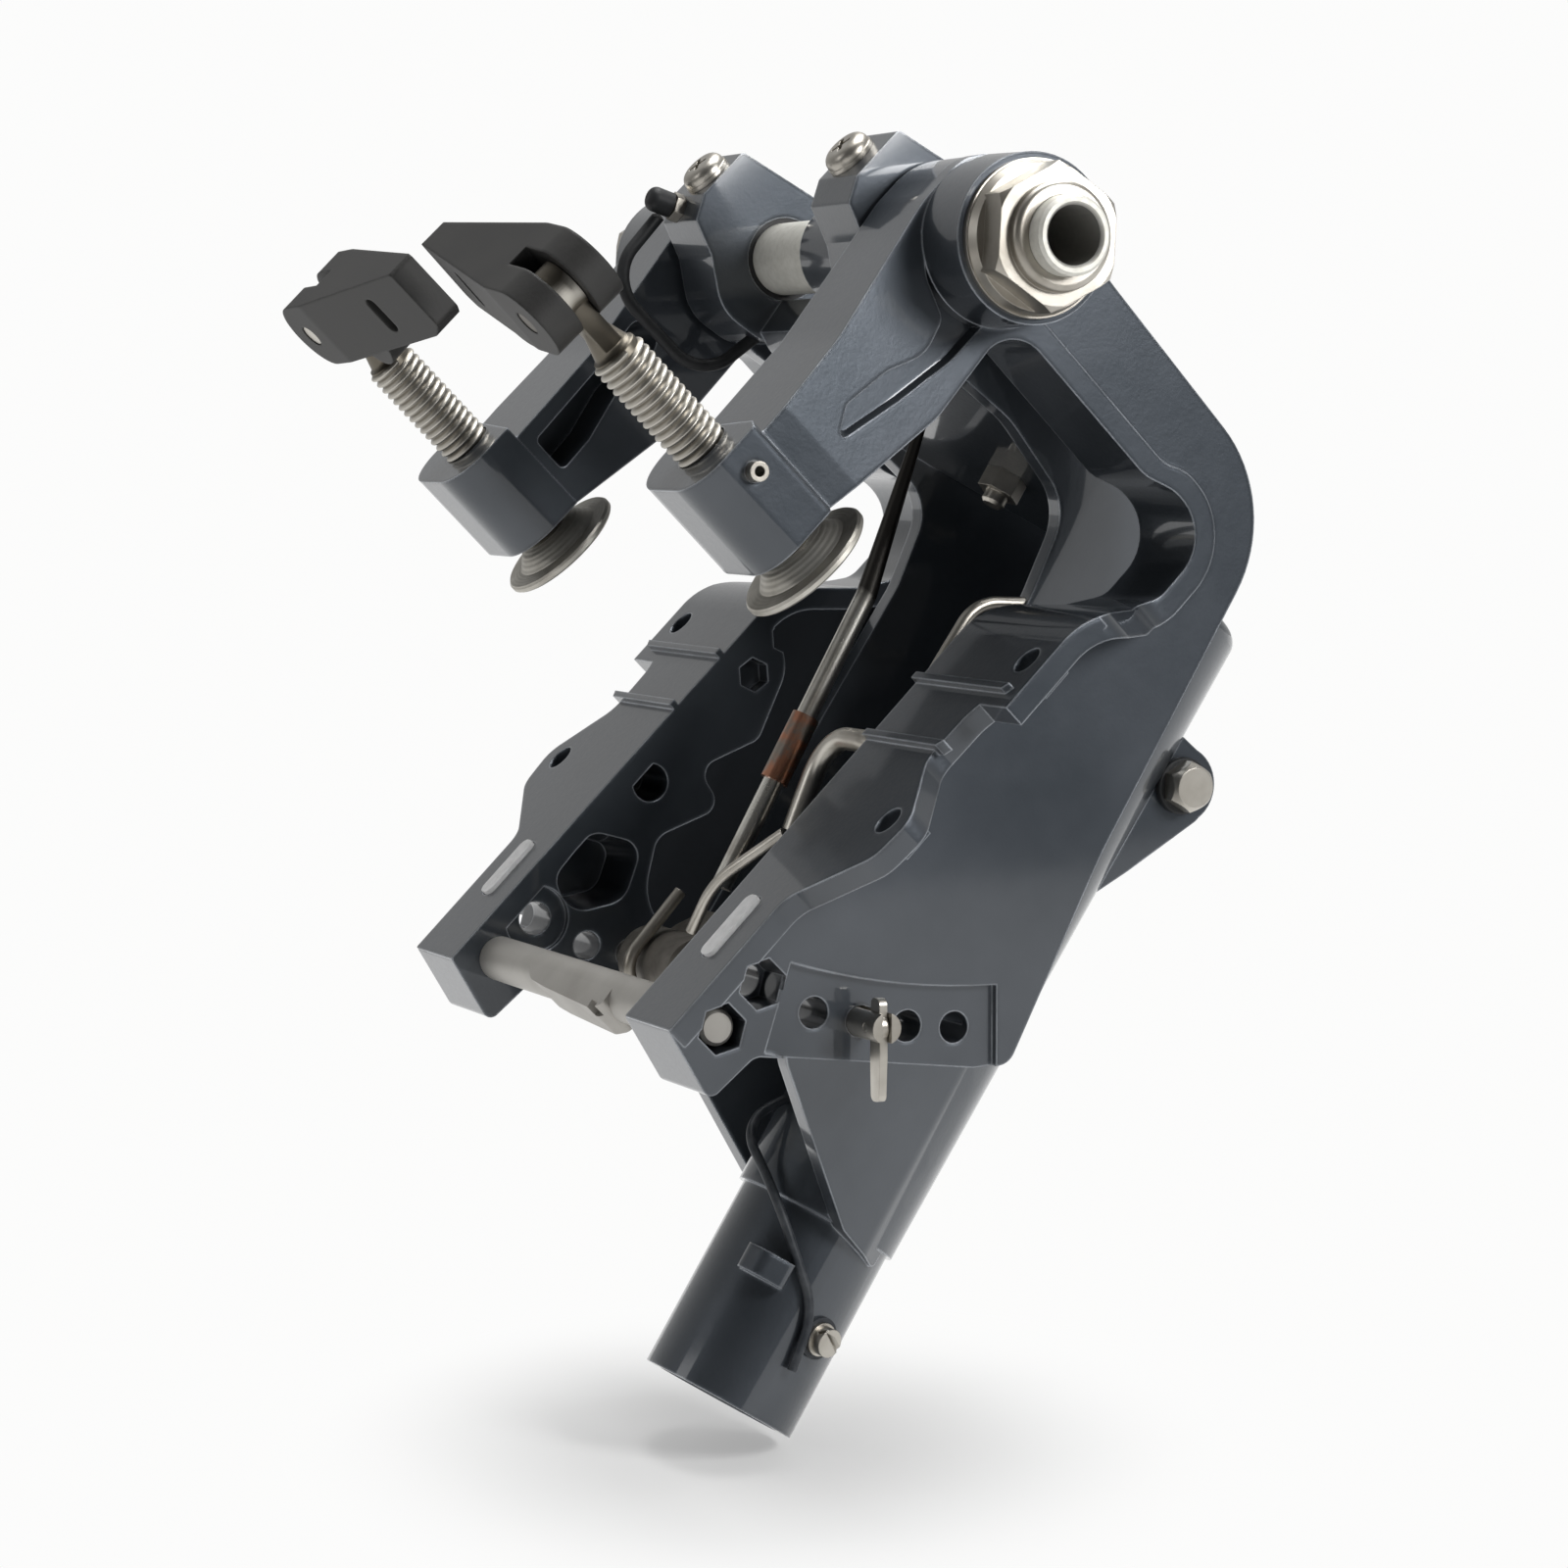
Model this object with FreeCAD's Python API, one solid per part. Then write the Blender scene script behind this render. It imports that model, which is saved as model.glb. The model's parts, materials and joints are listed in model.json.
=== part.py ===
import FreeCAD, Part
import math
import os

# Outboard swivel bracket: two clamp brackets, the tilt tube that ties them, and
# the swivel bracket that carries the motor's steering tube.
# Millimetres.  X to port, Y aft, Z up; the origin is the middle of the tilt axis.

V = FreeCAD.Vector
X_AXIS = V(1, 0, 0)
Y_AXIS = V(0, 1, 0)
Z_AXIS = V(0, 0, 1)

# Clamp brackets
INNER_X = 67.5            # inboard face of each clamp bracket
WEB_X = 97.4              # outboard face of the side web
WEB_T = 6.0
ARM_X = 106.0             # outboard face of the arm beside the clamp boss
TRANSOM_Y = 81.5          # face that bears on the transom
FLANGE_T = 7.0
BOTTOM_Z = -224.2
RIM_X = 98.4              # outboard edge of the rim around the transom slot
LOBE_X = 127.5            # flange lobes beside the transom bolts
BOSS_R = 24.3             # boss around the tilt tube
SEAT_X = 117.6            # nut seat
SEAT_R = 22.6

# Tilt tube and its nuts
TUBE_R = 11.1
TUBE_BORE_R = 8.2
TUBE_HALF = 140.8
NUT_AF = 36.0
NUT_FLANGE_R = 21.5
NUT_FLANGE_T = 3.0
NUT_H = 12.0
NUT_COLLAR_R = 15.2
NUT_COLLAR_H = 3.6
WASHER_R = 22.0
WASHER_T = 1.6
FIT = 0.05

# Transom bolt holes and the thin ribs on the flange
BOLT_X = 117.0
BOLT_Z = (-82.6, -143.4)
BOLT_R = 4.5
RIB_Z = (-94.0, -116.4)

# Clamp screws
SCREW_X = 88.4
SCREW_Z = -102.2
SCREW_R = 8.0
PITCH = 2.5               # the thread is left plain; its ends are chamfered by half a pitch
BOSS_Y0 = -20.8
BOSS_Y1 = 12.0
THREAD_Y0 = -58.0
PAD_Y = 21.5
PAD_R = 20.5
PIN_Y = -80.0
PIN_R = 2.5
EYE_T = 6.0
EYE_R = 8.0
LEVER_H = 25.0
LEVER_R = 11.8
LEVER_L = 78.0
LEVER_TIP_T = 8.4
FOLD = {1: 5.0, -1: 1.3}      # how far each lever leans out from square to its screw
TURN = {1: 5.65, -1: 0.84}    # how far each clamp screw is turned, its lever's tip lifted

# Lower block: hexagon pockets, tie rod, row of trim holes
HEX_AF = 12.8
TIE_Y = 93.5
TIE_Z = -213.2
TIE_R = 5.2
SLEEVE_R = 6.9
SPARE_Y = 94.0
SPARE_Z = -196.1
HOLE_R = 4.5
TRIM_RADIUS = 221.4       # trim holes lie on this circle about the tilt axis
TRIM_ANGLES = (-59.5, -55.63, -51.8, -47.9)
TRIM_INDEX = 1
TRIM_ROD_R = 4.4
STRIP_DEPTH = 2.5

# Swivel bracket, in its own upright frame: local Z is the steering axis
LEAN = 13.24
FOOT = V(0, 215.8, -273.6)
TILT_Y = -147.3
TILT_Z = 315.6
STEER_R = 24.8
STEER_BORE_R = 20.0
BARREL_LOW_R = 26.4
BARREL_TOP_R = 30.4
BARREL_Z0 = 62.0
BARREL_Z1 = 285.0
HUB_R = 25.0
HUB_X0 = 40.0
HUB_X1 = 64.5
HUB_SCREW_X = 49.6
HUB_SCREW_Z = 2.3
CHEEK_T = 6.0
ROOF_Z = 289.0            # underside of the wall between the cheeks, in the swivel's upright frame

# Pinch ears of the steering barrel
EAR_X = 13.0
EAR_Y = 34.0
EAR_Z = 236.0
RING_T = 2.6

# Grease nipple and its hose, on the starboard hub
NIPPLE_AT = V(-55.0, -31.4, -9.7)
NIPPLE_DIR = V(0, -0.894, -0.447)
HOSE_R = 2.0
HOSE_ROUTE = (V(-57.0, -34.5, -13.0), V(-56.0, -33.0, -42.0), V(-46.0, 8.0, -45.0), V(-45.0, 12.0, -18.0))

# Tilt lock, in the swivel's upright frame
STRUT_R = 3.25
STRUT_LOW = V(0, -81.7, 133.4)
STRUT_KNEE = V(0, -86.2, 232.6)
STRUT_TOP = V(0, -98.7, ROOF_Z + 2.0)
SHAFT_R = 3.4
SHAFT_ROUTE = (V(43.0, -60.6, 188.0), V(43.0, -80.0, 188.0), V(11.0, -80.0, 188.0), V(9.0, -74.0, 158.0))
STAPLE_ROUTE = (V(43.0, -59.5, 248.0), V(43.0, -73.5, 240.0), V(43.0, -75.0, 208.0), V(43.0, -60.0, 201.0))
WIRE_ROUTE = (V(20.0, -81.3, 154.4), V(3.0, -86.0, 133.0), V(-6.0, -80.5, 118.0))
CLAW_R = 11.0
CLAW_X = (-51.0, -14.0)
HOOK_R = 2.0

# Earth lead on the steering tube, in the swivel's upright frame
LEAD_R = 1.5
LEAD_ROUTE = (V(-2.0, -24.0, 94.0), V(0, -38.0, 76.0), V(20.0, -25.0, 60.0), V(27.5, 0, 36.0), V(27.2, 3.0, 17.5))
TERMINAL_ANGLE = 17.0
TERMINAL_Z = 30.0
TAG_T = 1.1


def outline(corners, place):
    """Closed face through corners (a, b, radius), each corner rounded by an arc."""
    flat = [V(c[0], c[1], 0) for c in corners]
    count = len(corners)
    starts = []
    mids = []
    ends = []
    for i in range(count):
        here = flat[i]
        back = flat[i - 1].sub(here)
        ahead = flat[(i + 1) % count].sub(here)
        back.normalize()
        ahead.normalize()
        radius = corners[i][2]
        half = back.getAngle(ahead) / 2
        if radius <= 0 or abs(half - math.pi / 2) < 0.01:
            starts.append(here)
            mids.append(None)
            ends.append(here)
            continue
        reach = radius / math.tan(half)
        middle = back.add(ahead)
        middle.normalize()
        starts.append(here.add(back.multiply(reach)))
        ends.append(here.add(ahead.multiply(reach)))
        mids.append(here.add(middle.multiply(radius / math.sin(half) - radius)))
    edges = []
    for i in range(count):
        if mids[i] is not None:
            edges.append(Part.Arc(place(starts[i]), place(mids[i]), place(ends[i])).toShape())
        nxt = starts[(i + 1) % count]
        if ends[i].sub(nxt).Length > 0.001:
            edges.append(Part.makeLine(place(ends[i]), place(nxt)))
    return Part.Face(Part.Wire(edges))


def side_plate(corners, x0, x1):
    """Plate whose outline (y, z, radius) is seen from the side, from x0 to x1."""
    face = outline(corners, lambda p: V(x0, p.x, p.y))
    return face.extrude(V(x1 - x0, 0, 0))


def front_plate(corners, y0, y1):
    """Plate whose outline (x, z, radius) is seen from the front, from y0 to y1."""
    face = outline(corners, lambda p: V(p.x, y0, p.y))
    return face.extrude(V(0, y1 - y0, 0))


def flat_plate(corners, z0, z1):
    """Plate whose outline (x, y, radius) is seen from above, from z0 to z1."""
    face = outline(corners, lambda p: V(p.x, p.y, z0))
    return face.extrude(V(0, 0, z1 - z0))


def rod(start, end, radius):
    along = end.sub(start)
    return Part.makeCylinder(radius, along.Length, start, along)


def across(radius, x0, x1, y, z):
    return rod(V(x0, y, z), V(x1, y, z), radius)


def hexagon(across_flats, x0, x1, y, z, turn):
    """Hexagonal prism along X."""
    radius = across_flats / math.sqrt(3)
    corners = []
    for i in range(6):
        angle = math.radians(60 * i + turn)
        corners.append((y + radius * math.cos(angle), z + radius * math.sin(angle), 0))
    return side_plate(corners, x0, x1)


def pocket(corners, x_open, x_floor, shrink):
    """Tapered pocket: the outline at x_open narrows by shrink to the floor."""
    ay = sum(c[0] for c in corners) / len(corners)
    az = sum(c[1] for c in corners) / len(corners)
    small = []
    for y, z, radius in corners:
        small.append((ay + (y - ay) * shrink, az + (z - az) * shrink, radius * shrink))
    top = outline(corners, lambda p: V(x_open, p.x, p.y)).OuterWire
    low = outline(small, lambda p: V(x_floor, p.x, p.y)).OuterWire
    return Part.makeLoft([top, low], True, True)


def fuse(shapes):
    whole = shapes[0]
    for shape in shapes[1:]:
        whole = whole.fuse(shape)
    return whole.removeSplitter()


def mirrored(shape):
    return shape.mirror(V(0, 0, 0), X_AXIS)


def tube_route(points, radius, bend=None):
    """Round bar along a route, its corners turned by tangent arcs."""
    edges = []
    last = points[0]
    for i in range(1, len(points) - 1):
        here = points[i]
        back = points[i - 1].sub(here)
        ahead = points[i + 1].sub(here)
        turn = math.pi - back.getAngle(ahead)
        shorter = min(back.Length, ahead.Length)
        bend_r = 0.45 * shorter / math.tan(turn / 2)
        if bend is not None:
            bend_r = min(bend_r, bend)
        print("bar of radius", radius, "bends at radius", round(bend_r, 1))
        reach = bend_r * math.tan(turn / 2)
        back.normalize()
        ahead.normalize()
        first = here.add(V(back).multiply(reach))
        second = here.add(V(ahead).multiply(reach))
        middle = V(back).add(ahead)
        middle.normalize()
        mid = here.add(middle.multiply(bend_r / math.cos(turn / 2) - bend_r))
        edges.append(Part.makeLine(last, first))
        edges.append(Part.Arc(first, mid, second).toShape())
        last = second
    edges.append(Part.makeLine(last, points[-1]))
    path = Part.Wire(edges)
    start = points[1].sub(points[0])
    ring = Part.Wire([Part.makeCircle(radius, points[0], start)])
    return path.makePipeShell([ring], True, False)


def trim_hole(index):
    angle = math.radians(TRIM_ANGLES[index])
    return TRIM_RADIUS * math.cos(angle), TRIM_RADIUS * math.sin(angle)


def to_row(shape):
    """Set a shape made in the swivel's upright frame into the assembly."""
    turned = shape.copy()
    turned.rotate(V(0, 0, 0), X_AXIS, LEAN)
    turned.translate(FOOT)
    return turned


# Clamp bracket outlines, seen from the side: (y, z, corner radius)
OUTER = (
    (TRANSOM_Y, BOTTOM_Z, 1.5),
    (104.9, -230.0, 3.0),
    (106.5, -212.0, 5.0),
    (161.5, -168.3, 0),
    (168.2, -160.5, 6.0),
    (147.5, -98.0, 150.0),
    (119.0, 15.0, 40.0),
    (31.5, 18.2, 40.0),
    (2.0, BOSS_R, 20.0),
    (-BOSS_R, 14.0, 16.0),
    (-BOSS_R, -8.0, 20.0),
    (-17.5, -57.0, 60.0),
    (-16.5, -100.0, 0),
    (11.0, -100.0, 0),
    (60.0, -120.0, 0),
)
SLOT = (
    (11.0, -100.0, 0),
    (19.8, -50.0, 25.0),
    (18.5, -12.6, 12.0),
    (80.0, -12.6, 14.0),
    (90.0, -8.6, 14.0),
    (108.5, -8.6, 15.0),
    (108.5, -34.0, 10.0),
    (101.0, -45.0, 10.0),
    (TRANSOM_Y, -64.0, 26.0),
    (TRANSOM_Y, -240.0, 0),
    (11.0, -240.0, 0),
)
BAND = (
    (3.5, -92.0, 0),
    (12.6, -50.0, 28.0),
    (11.6, -5.6, 16.0),
    (82.0, -5.6, 12.0),
    (89.0, -1.8, 12.0),
    (115.5, -1.8, 22.0),
    (115.5, -37.0, 16.0),
    (107.0, -49.0, 16.0),
    (TRANSOM_Y + FLANGE_T, -67.0, 20.0),
    (TRANSOM_Y + FLANGE_T, -100.0, 0),
    (70.0, -100.0, 0),
    (70.0, -92.0, 0),
)
FLANGE = (
    (INNER_X, BOTTOM_Z, 1.0),
    (WEB_X + 1.0, BOTTOM_Z, 1.0),
    (WEB_X + 1.0, -175.0, 8.0),
    (126.0, -156.0, 9.0),
    (128.5, -142.0, 9.0),
    (109.5, -121.0, 10.0),
    (110.5, -103.0, 12.0),
    (LOBE_X, -76.0, 14.0),
    (LOBE_X, -62.0, 0),
    (INNER_X, -62.0, 0),
)


def lower_block():
    """Thick lower half of the casting, hollowed from the inboard side."""
    block = side_plate(
        (
            (TRANSOM_Y, BOTTOM_Z, 1.5),
            (104.9, -230.0, 3.0),
            (106.5, -212.0, 5.0),
            (161.5, -168.3, 0),
            (168.2, -160.5, 6.0),
            (150.5, -110.0, 3.0),
            (143.0, -112.0, 3.0),
            (158.0, -158.5, 5.0),
            (120.0, -173.0, 18.0),
            (106.0, -150.0, 7.0),
            (116.0, -128.0, 5.0),
            (101.0, -125.0, 5.0),
            (110.0, -104.0, 6.0),
            (101.0, -80.0, 14.0),
            (TRANSOM_Y, -72.0, 4.0),
        ),
        INNER_X, WEB_X,
    )
    dish = pocket(
        ((88.0, -164.0, 7.0), (104.0, -155.0, 6.0), (112.0, -172.0, 9.0), (101.0, -188.0, 9.0), (89.0, -183.0, 6.0)),
        INNER_X - 0.5, INNER_X + 19.0, 0.8,
    )
    block = block.cut(dish)
    block = block.cut(across(6.0, INNER_X - 1, INNER_X + 20, 92.0, -139.5))
    block = block.cut(across(10.5, INNER_X - 1, INNER_X + 2.0, SPARE_Y, SPARE_Z))
    for z in (-74.0, -90.5):
        block = block.cut(hexagon(9.5, INNER_X - 1, INNER_X + 6, 94.0, z, 20))
    return block


def back_rail():
    """Inboard rail along the top and the aft edge of the side web."""
    rail = side_plate(
        (
            (20.0, 12.0, 0),
            (20.0, 19.5, 0),
            (31.5, 18.2, 30.0),
            (119.0, 15.0, 40.0),
            (147.5, -98.0, 150.0),
            (153.5, -114.0, 0),
            (145.5, -114.0, 0),
            (139.5, -98.0, 140.0),
            (112.5, 8.0, 32.0),
            (31.5, 11.0, 24.0),
        ),
        INNER_X, WEB_X - 1,
    )
    return rail


def arm():
    """Arm that reaches forward and down from the tilt boss to the clamp boss."""
    body = side_plate(
        (
            (-BOSS_R, 0, 0),
            (-BOSS_R, -8.0, 20.0),
            (-17.5, -57.0, 60.0),
            (-16.5, -100.0, 0),
            (11.0, -100.0, 0),
            (19.8, -50.0, 25.0),
            (18.5, -12.6, 0),
            (BOSS_R, 0, 0),
        ),
        INNER_X, ARM_X,
    )
    # The arm is thinner beside the tilt boss and flares out to the clamp boss
    wedge = front_plate(
        ((WEB_X, 30.0, 0), (WEB_X, -14.0, 30.0), (ARM_X, -82.0, 0), (ARM_X + 20, -82.0, 0), (ARM_X + 20, 30.0, 0)),
        -40, 40,
    )
    body = body.cut(wedge)
    inside = pocket(
        ((-15.0, -34.0, 5.0), (-3.0, -40.0, 6.0), (-3.0, -60.0, 10.0), (1.0, -78.0, 8.0), (1.5, -91.0, 2.0),
         (-11.5, -91.0, 2.0), (-12.5, -60.0, 12.0)),
        INNER_X - 1, INNER_X + 17.0, 0.88,
    )
    return body.cut(inside)


def arm_channel():
    """Curved hollow in the arm's outboard face, from the flank of the nut seat down to a point."""
    hollow = pocket(
        (
            (-26.5, -9.0, 3.0),
            (-10.2, -22.3, 12.0),
            (2.6, -27.4, 5.0),
            (5.6, -40.2, 14.0),
            (-0.6, -53.0, 14.0),
            (-3.6, -69.4, 4.0),
            (1.6, -78.8, 1.5),
            (8.2, -56.4, 12.0),
            (13.2, -34.6, 14.0),
            (14.4, -17.8, 8.0),
            (13.3, -2.2, 3.0),
        ),
        ARM_X + 1, WEB_X - 6.5, 0.78,
    )
    return hollow.cut(across(BOSS_R + 0.2, WEB_X - 10, ARM_X + 2, 0, 0))


def clamp_boss():
    """Block at the end of the arm that carries the clamp screw."""
    half = 21.0
    low = SCREW_Z - 16.5
    boss = front_plate(
        (
            (SCREW_X - half, low + 24.0, 0),
            (SCREW_X - half, low, 14.0),
            (SCREW_X + half, low, 12.0),
            (SCREW_X + half, low + 25.0, 1.5),
            (SCREW_X + half - 4.0, low + 27.0, 1.5),
        ),
        BOSS_Y0, BOSS_Y1,
    )
    return boss


def tilt_boss():
    """Boss around the tilt tube, stepping out to the nut seat."""
    barrel = across(BOSS_R, INNER_X, WEB_X, 0, 0)
    cone = Part.makeCone(BOSS_R, SEAT_R + 1.2, SEAT_X - WEB_X - 2, V(WEB_X, 0, 0), X_AXIS)
    seat = across(SEAT_R + 1.2, SEAT_X - 2.2, SEAT_X, 0, 0)
    trim = side_plate(
        ((-BOSS_R, -40.0, 0), (-BOSS_R, 50.0, 0), (60.0, 50.0, 0), (60.0, -40.0, 0)), WEB_X - 1, SEAT_X + 1,
    )
    return fuse([barrel, cone.common(trim), seat])


def clamp_bracket(side):
    """Cast clamp bracket, made to port and mirrored for starboard."""
    web = side_plate(OUTER, WEB_X - WEB_T, WEB_X)
    web = web.cut(side_plate(SLOT, 50, 150))
    slot = side_plate(SLOT, 50, 150)
    # The rim round the slot is narrow beside the arm and widens into the flange lobe
    narrow = front_plate(((60.0, -240.0, 0), (60.0, 30.0, 0), (RIM_X, 30.0, 0), (RIM_X, -240.0, 0)), 0, 60)
    wide = front_plate(
        ((60.0, -240.0, 0), (60.0, 30.0, 0), (RIM_X, 30.0, 0), (RIM_X, -40.0, 10.0), (LOBE_X, -60.0, 8.0),
         (LOBE_X, -240.0, 0)), 60, 160)
    band = side_plate(BAND, INNER_X, LOBE_X + 1).common(fuse([narrow, wide])).cut(slot)
    flange = front_plate(FLANGE, TRANSOM_Y, TRANSOM_Y + FLANGE_T)
    flange = flange.cut(slot)
    gussets = []
    for z in BOLT_Z:
        gussets.append(front_plate(((WEB_X - 1, z - 11, 0), (122.0, z - 5, 0), (122.0, z + 5, 0),
                                    (WEB_X - 1, z + 11, 0)), TRANSOM_Y + FLANGE_T - 1, TRANSOM_Y + FLANGE_T + 3))
    body = fuse([web, band, flange, lower_block(), back_rail(), arm(), clamp_boss(), tilt_boss()] + gussets)
    for z, x1 in ((RIB_Z[0], 121.0), (RIB_Z[1], 112.5)):
        rib = front_plate(((INNER_X, z - 1.2, 0), (x1, z - 1.2, 0), (x1 + 2, z + 1.2, 0), (INNER_X, z + 1.2, 0)),
                          TRANSOM_Y - 2.2, TRANSOM_Y + 2.0)
        body = body.fuse(rib)
    body = body.cut(arm_channel())
    body = body.cut(across(TUBE_R + FIT, 50, 150, 0, 0))
    body = body.cut(rod(V(SCREW_X, BOSS_Y0 - 1, SCREW_Z), V(SCREW_X, BOSS_Y1 + 1, SCREW_Z), SCREW_R + FIT))
    for z in BOLT_Z:
        body = body.cut(rod(V(BOLT_X, TRANSOM_Y - 5, z), V(BOLT_X, TRANSOM_Y + 20, z), BOLT_R))
    # Row of trim holes in a shallow step cut to the arc they lie on
    step = strip_step()
    body = body.cut(step)
    for index in range(4):
        y, z = trim_hole(index)
        body = body.cut(across(HOLE_R, 60, 120, y, z))
    for y, z in ((TIE_Y, TIE_Z), (SPARE_Y, SPARE_Z)):
        body = body.cut(hexagon(HEX_AF, WEB_X - 14, WEB_X + 5, y, z, 0))
        body = body.cut(across(TIE_R + FIT, 60, 110, y, z))
    body = body.cut(front_plate(((79.5, -199.4, 3.0), (87.3, -199.4, 3.0), (87.3, -176.6, 3.0), (79.5, -176.6, 3.0)),
                                TRANSOM_Y - 1, TRANSOM_Y + 1.5))
    body = body.cut(across(2.85, SCREW_X + 17.5, 120, -12.0, SCREW_Z))
    body = body.removeSplitter()
    if side < 0:
        body = mirrored(body)
    return body


def strip_step():
    inner = TRIM_RADIUS - 12.0
    outer = TRIM_RADIUS + 14.0
    low = math.radians(TRIM_ANGLES[0] - 3.2)
    high = math.radians(TRIM_ANGLES[3] + 3.2)
    mid = (low + high) / 2
    x = WEB_X - STRIP_DEPTH

    def at(radius, angle):
        return V(x, radius * math.cos(angle), radius * math.sin(angle))

    edges = [
        Part.Arc(at(inner, low), at(inner, mid), at(inner, high)).toShape(),
        Part.makeLine(at(inner, high), at(outer, high)),
        Part.Arc(at(outer, high), at(outer, mid), at(outer, low)).toShape(),
        Part.makeLine(at(outer, low), at(inner, low)),
    ]
    return Part.Face(Part.Wire(edges)).extrude(V(STRIP_DEPTH + 2, 0, 0))


def tilt_tube():
    tube = across(TUBE_R, -TUBE_HALF, TUBE_HALF, 0, 0)
    tube = tube.cut(across(TUBE_BORE_R, -TUBE_HALF - 1, TUBE_HALF + 1, 0, 0))
    rims = [e for e in tube.Edges if abs(abs(e.CenterOfMass.x) - TUBE_HALF) < 0.01]
    return tube.makeChamfer(0.9, rims)


def tilt_nut(side):
    """Flanged lock nut with a rounded collar."""
    x = SEAT_X + WASHER_T
    flange = Part.makeCone(NUT_FLANGE_R, NUT_FLANGE_R - 1.2, NUT_FLANGE_T, V(x, 0, 0), X_AXIS)
    body = hexagon(NUT_AF, x + 1, x + NUT_H, 0, 0, 12)
    crown = Part.makeCone(NUT_AF / 2 + 9.0, NUT_AF / 2 - 1.0, 10.0, V(x + NUT_H - 8.0, 0, 0), X_AXIS)
    body = body.common(fuse([across(40, x - 1, x + NUT_H - 8, 0, 0), crown]))
    collar = across(NUT_COLLAR_R, x + NUT_H - 2, x + NUT_H + NUT_COLLAR_H, 0, 0)
    edge = [e for e in collar.Edges if abs(e.CenterOfMass.x - x - NUT_H - NUT_COLLAR_H) < 0.01]
    collar = collar.makeFillet(2.0, edge)
    nut = fuse([flange, body, collar])
    nut = nut.cut(across(TUBE_R + FIT, x - 1, x + 40, 0, 0))
    if side < 0:
        nut = mirrored(nut)
    return nut


def tilt_washer(side):
    ring = across(WASHER_R, SEAT_X, SEAT_X + WASHER_T, 0, 0)
    ring = ring.cut(across(TUBE_R + FIT, SEAT_X - 1, SEAT_X + 5, 0, 0))
    if side < 0:
        ring = mirrored(ring)
    return ring


def tie_rod():
    """Cross rod through the lower hexagon pockets of both brackets."""
    bar = across(TIE_R, -WEB_X + 3, WEB_X - 3, TIE_Y, TIE_Z)
    ends = [e for e in bar.Edges if abs(abs(e.CenterOfMass.x) - WEB_X + 3) < 0.01]
    return bar.makeChamfer(1.0, ends)


def tie_saddle():
    """Spacer sleeve on the cross rod, with a tapered skirt folded down under it."""
    half = INNER_X - 0.1
    sleeve = across(SLEEVE_R, -half, half, TIE_Y, TIE_Z)
    section = side_plate(
        ((TIE_Y - SLEEVE_R, TIE_Z, 0), (TIE_Y - 5.6, TIE_Z - 12.0, 4.0), (TIE_Y + 5.6, TIE_Z - 12.0, 4.0),
         (TIE_Y + SLEEVE_R, TIE_Z, 0)), -half, half)
    curve = front_plate(
        ((-30.0, TIE_Z, 0), (-22.0, TIE_Z - 6.2, 12.0), (-8.0, TIE_Z - 7.4, 30.0), (29.0, TIE_Z - 9.2, 4.0),
         (34.5, TIE_Z - 7.0, 2.0), (34.5, TIE_Z, 0)), TIE_Y - 20, TIE_Y + 20)
    skirt = section.common(curve)
    notch = Part.makeBox(4.5, 6.0, 3.0, V(27.0, TIE_Y - 8.0, TIE_Z - 9.6))
    whole = fuse([sleeve, skirt.cut(notch)])
    return whole.cut(across(TIE_R + 0.02, -100, 100, TIE_Y, TIE_Z))


def trim_rod():
    """Rod the swivel rests on; headed to starboard, forked to port."""
    y, z = trim_hole(TRIM_INDEX)
    x0 = -WEB_X + STRIP_DEPTH
    x1 = WEB_X + 14.0
    bar = across(TRIM_ROD_R, x0 - 1, x1, y, z)
    head = across(8.0, x0 - 4.5, x0, y, z)
    edge = [e for e in head.Edges if abs(e.CenterOfMass.x - x0 + 4.5) < 0.01]
    head = head.makeFillet(1.5, edge)
    bar = fuse([bar, head])
    fork = Part.makeBox(24, 2.8, 20, V(x1 - 19, -1.4, -10))
    fork.rotate(V(x1, 0, 0), X_AXIS, 45)
    fork.translate(V(0, y, z))
    bar = bar.cut(fork)
    pin_axis = V(0, math.cos(math.radians(45)), math.sin(math.radians(45)))
    centre = V(x1 - 5.0, y, z)
    bar = bar.cut(rod(centre.sub(V(pin_axis).multiply(8)), centre.add(V(pin_axis).multiply(8)), 1.25))
    return bar


def trim_toggle():
    """Flat catch that turns across the end of the trim rod."""
    y, z = trim_hole(TRIM_INDEX)
    x = WEB_X + 9.0
    blade = front_plate(
        ((x - 2.6, 8.0, 2.0), (x + 2.6, 8.0, 2.0), (x + 3.0, -8.0, 10.0), (x + 2.4, -21.0, 2.0), (x - 2.4, -21.0, 2.0),
         (x - 3.0, -8.0, 10.0)), -1.2, 1.2)
    disc = rod(V(x, -1.2, 0), V(x, 1.2, 0), 3.9)
    blade = fuse([blade, disc])
    blade = blade.cut(rod(V(x, -5, 0), V(x, 5, 0), 1.3))
    blade.rotate(V(x, 0, 0), X_AXIS, 45)
    blade.translate(V(0, y, z))
    return blade


def toggle_pin():
    y, z = trim_hole(TRIM_INDEX)
    x = WEB_X + 9.0
    c = math.cos(math.radians(45))
    pin_axis = V(0, c, c)
    centre = V(x, y, z)
    return rod(centre.sub(V(pin_axis).multiply(4.3)), centre.add(V(pin_axis).multiply(4.3)), 1.22)


def wear_strip(side):
    """Pale strip let into the transom face."""
    strip = front_plate(((79.8, -199.1, 2.8), (87.0, -199.1, 2.8), (87.0, -176.9, 2.8), (79.8, -176.9, 2.8)),
                        TRANSOM_Y - 1.2, TRANSOM_Y + 1.5)
    if side < 0:
        strip = mirrored(strip)
    return strip


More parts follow.
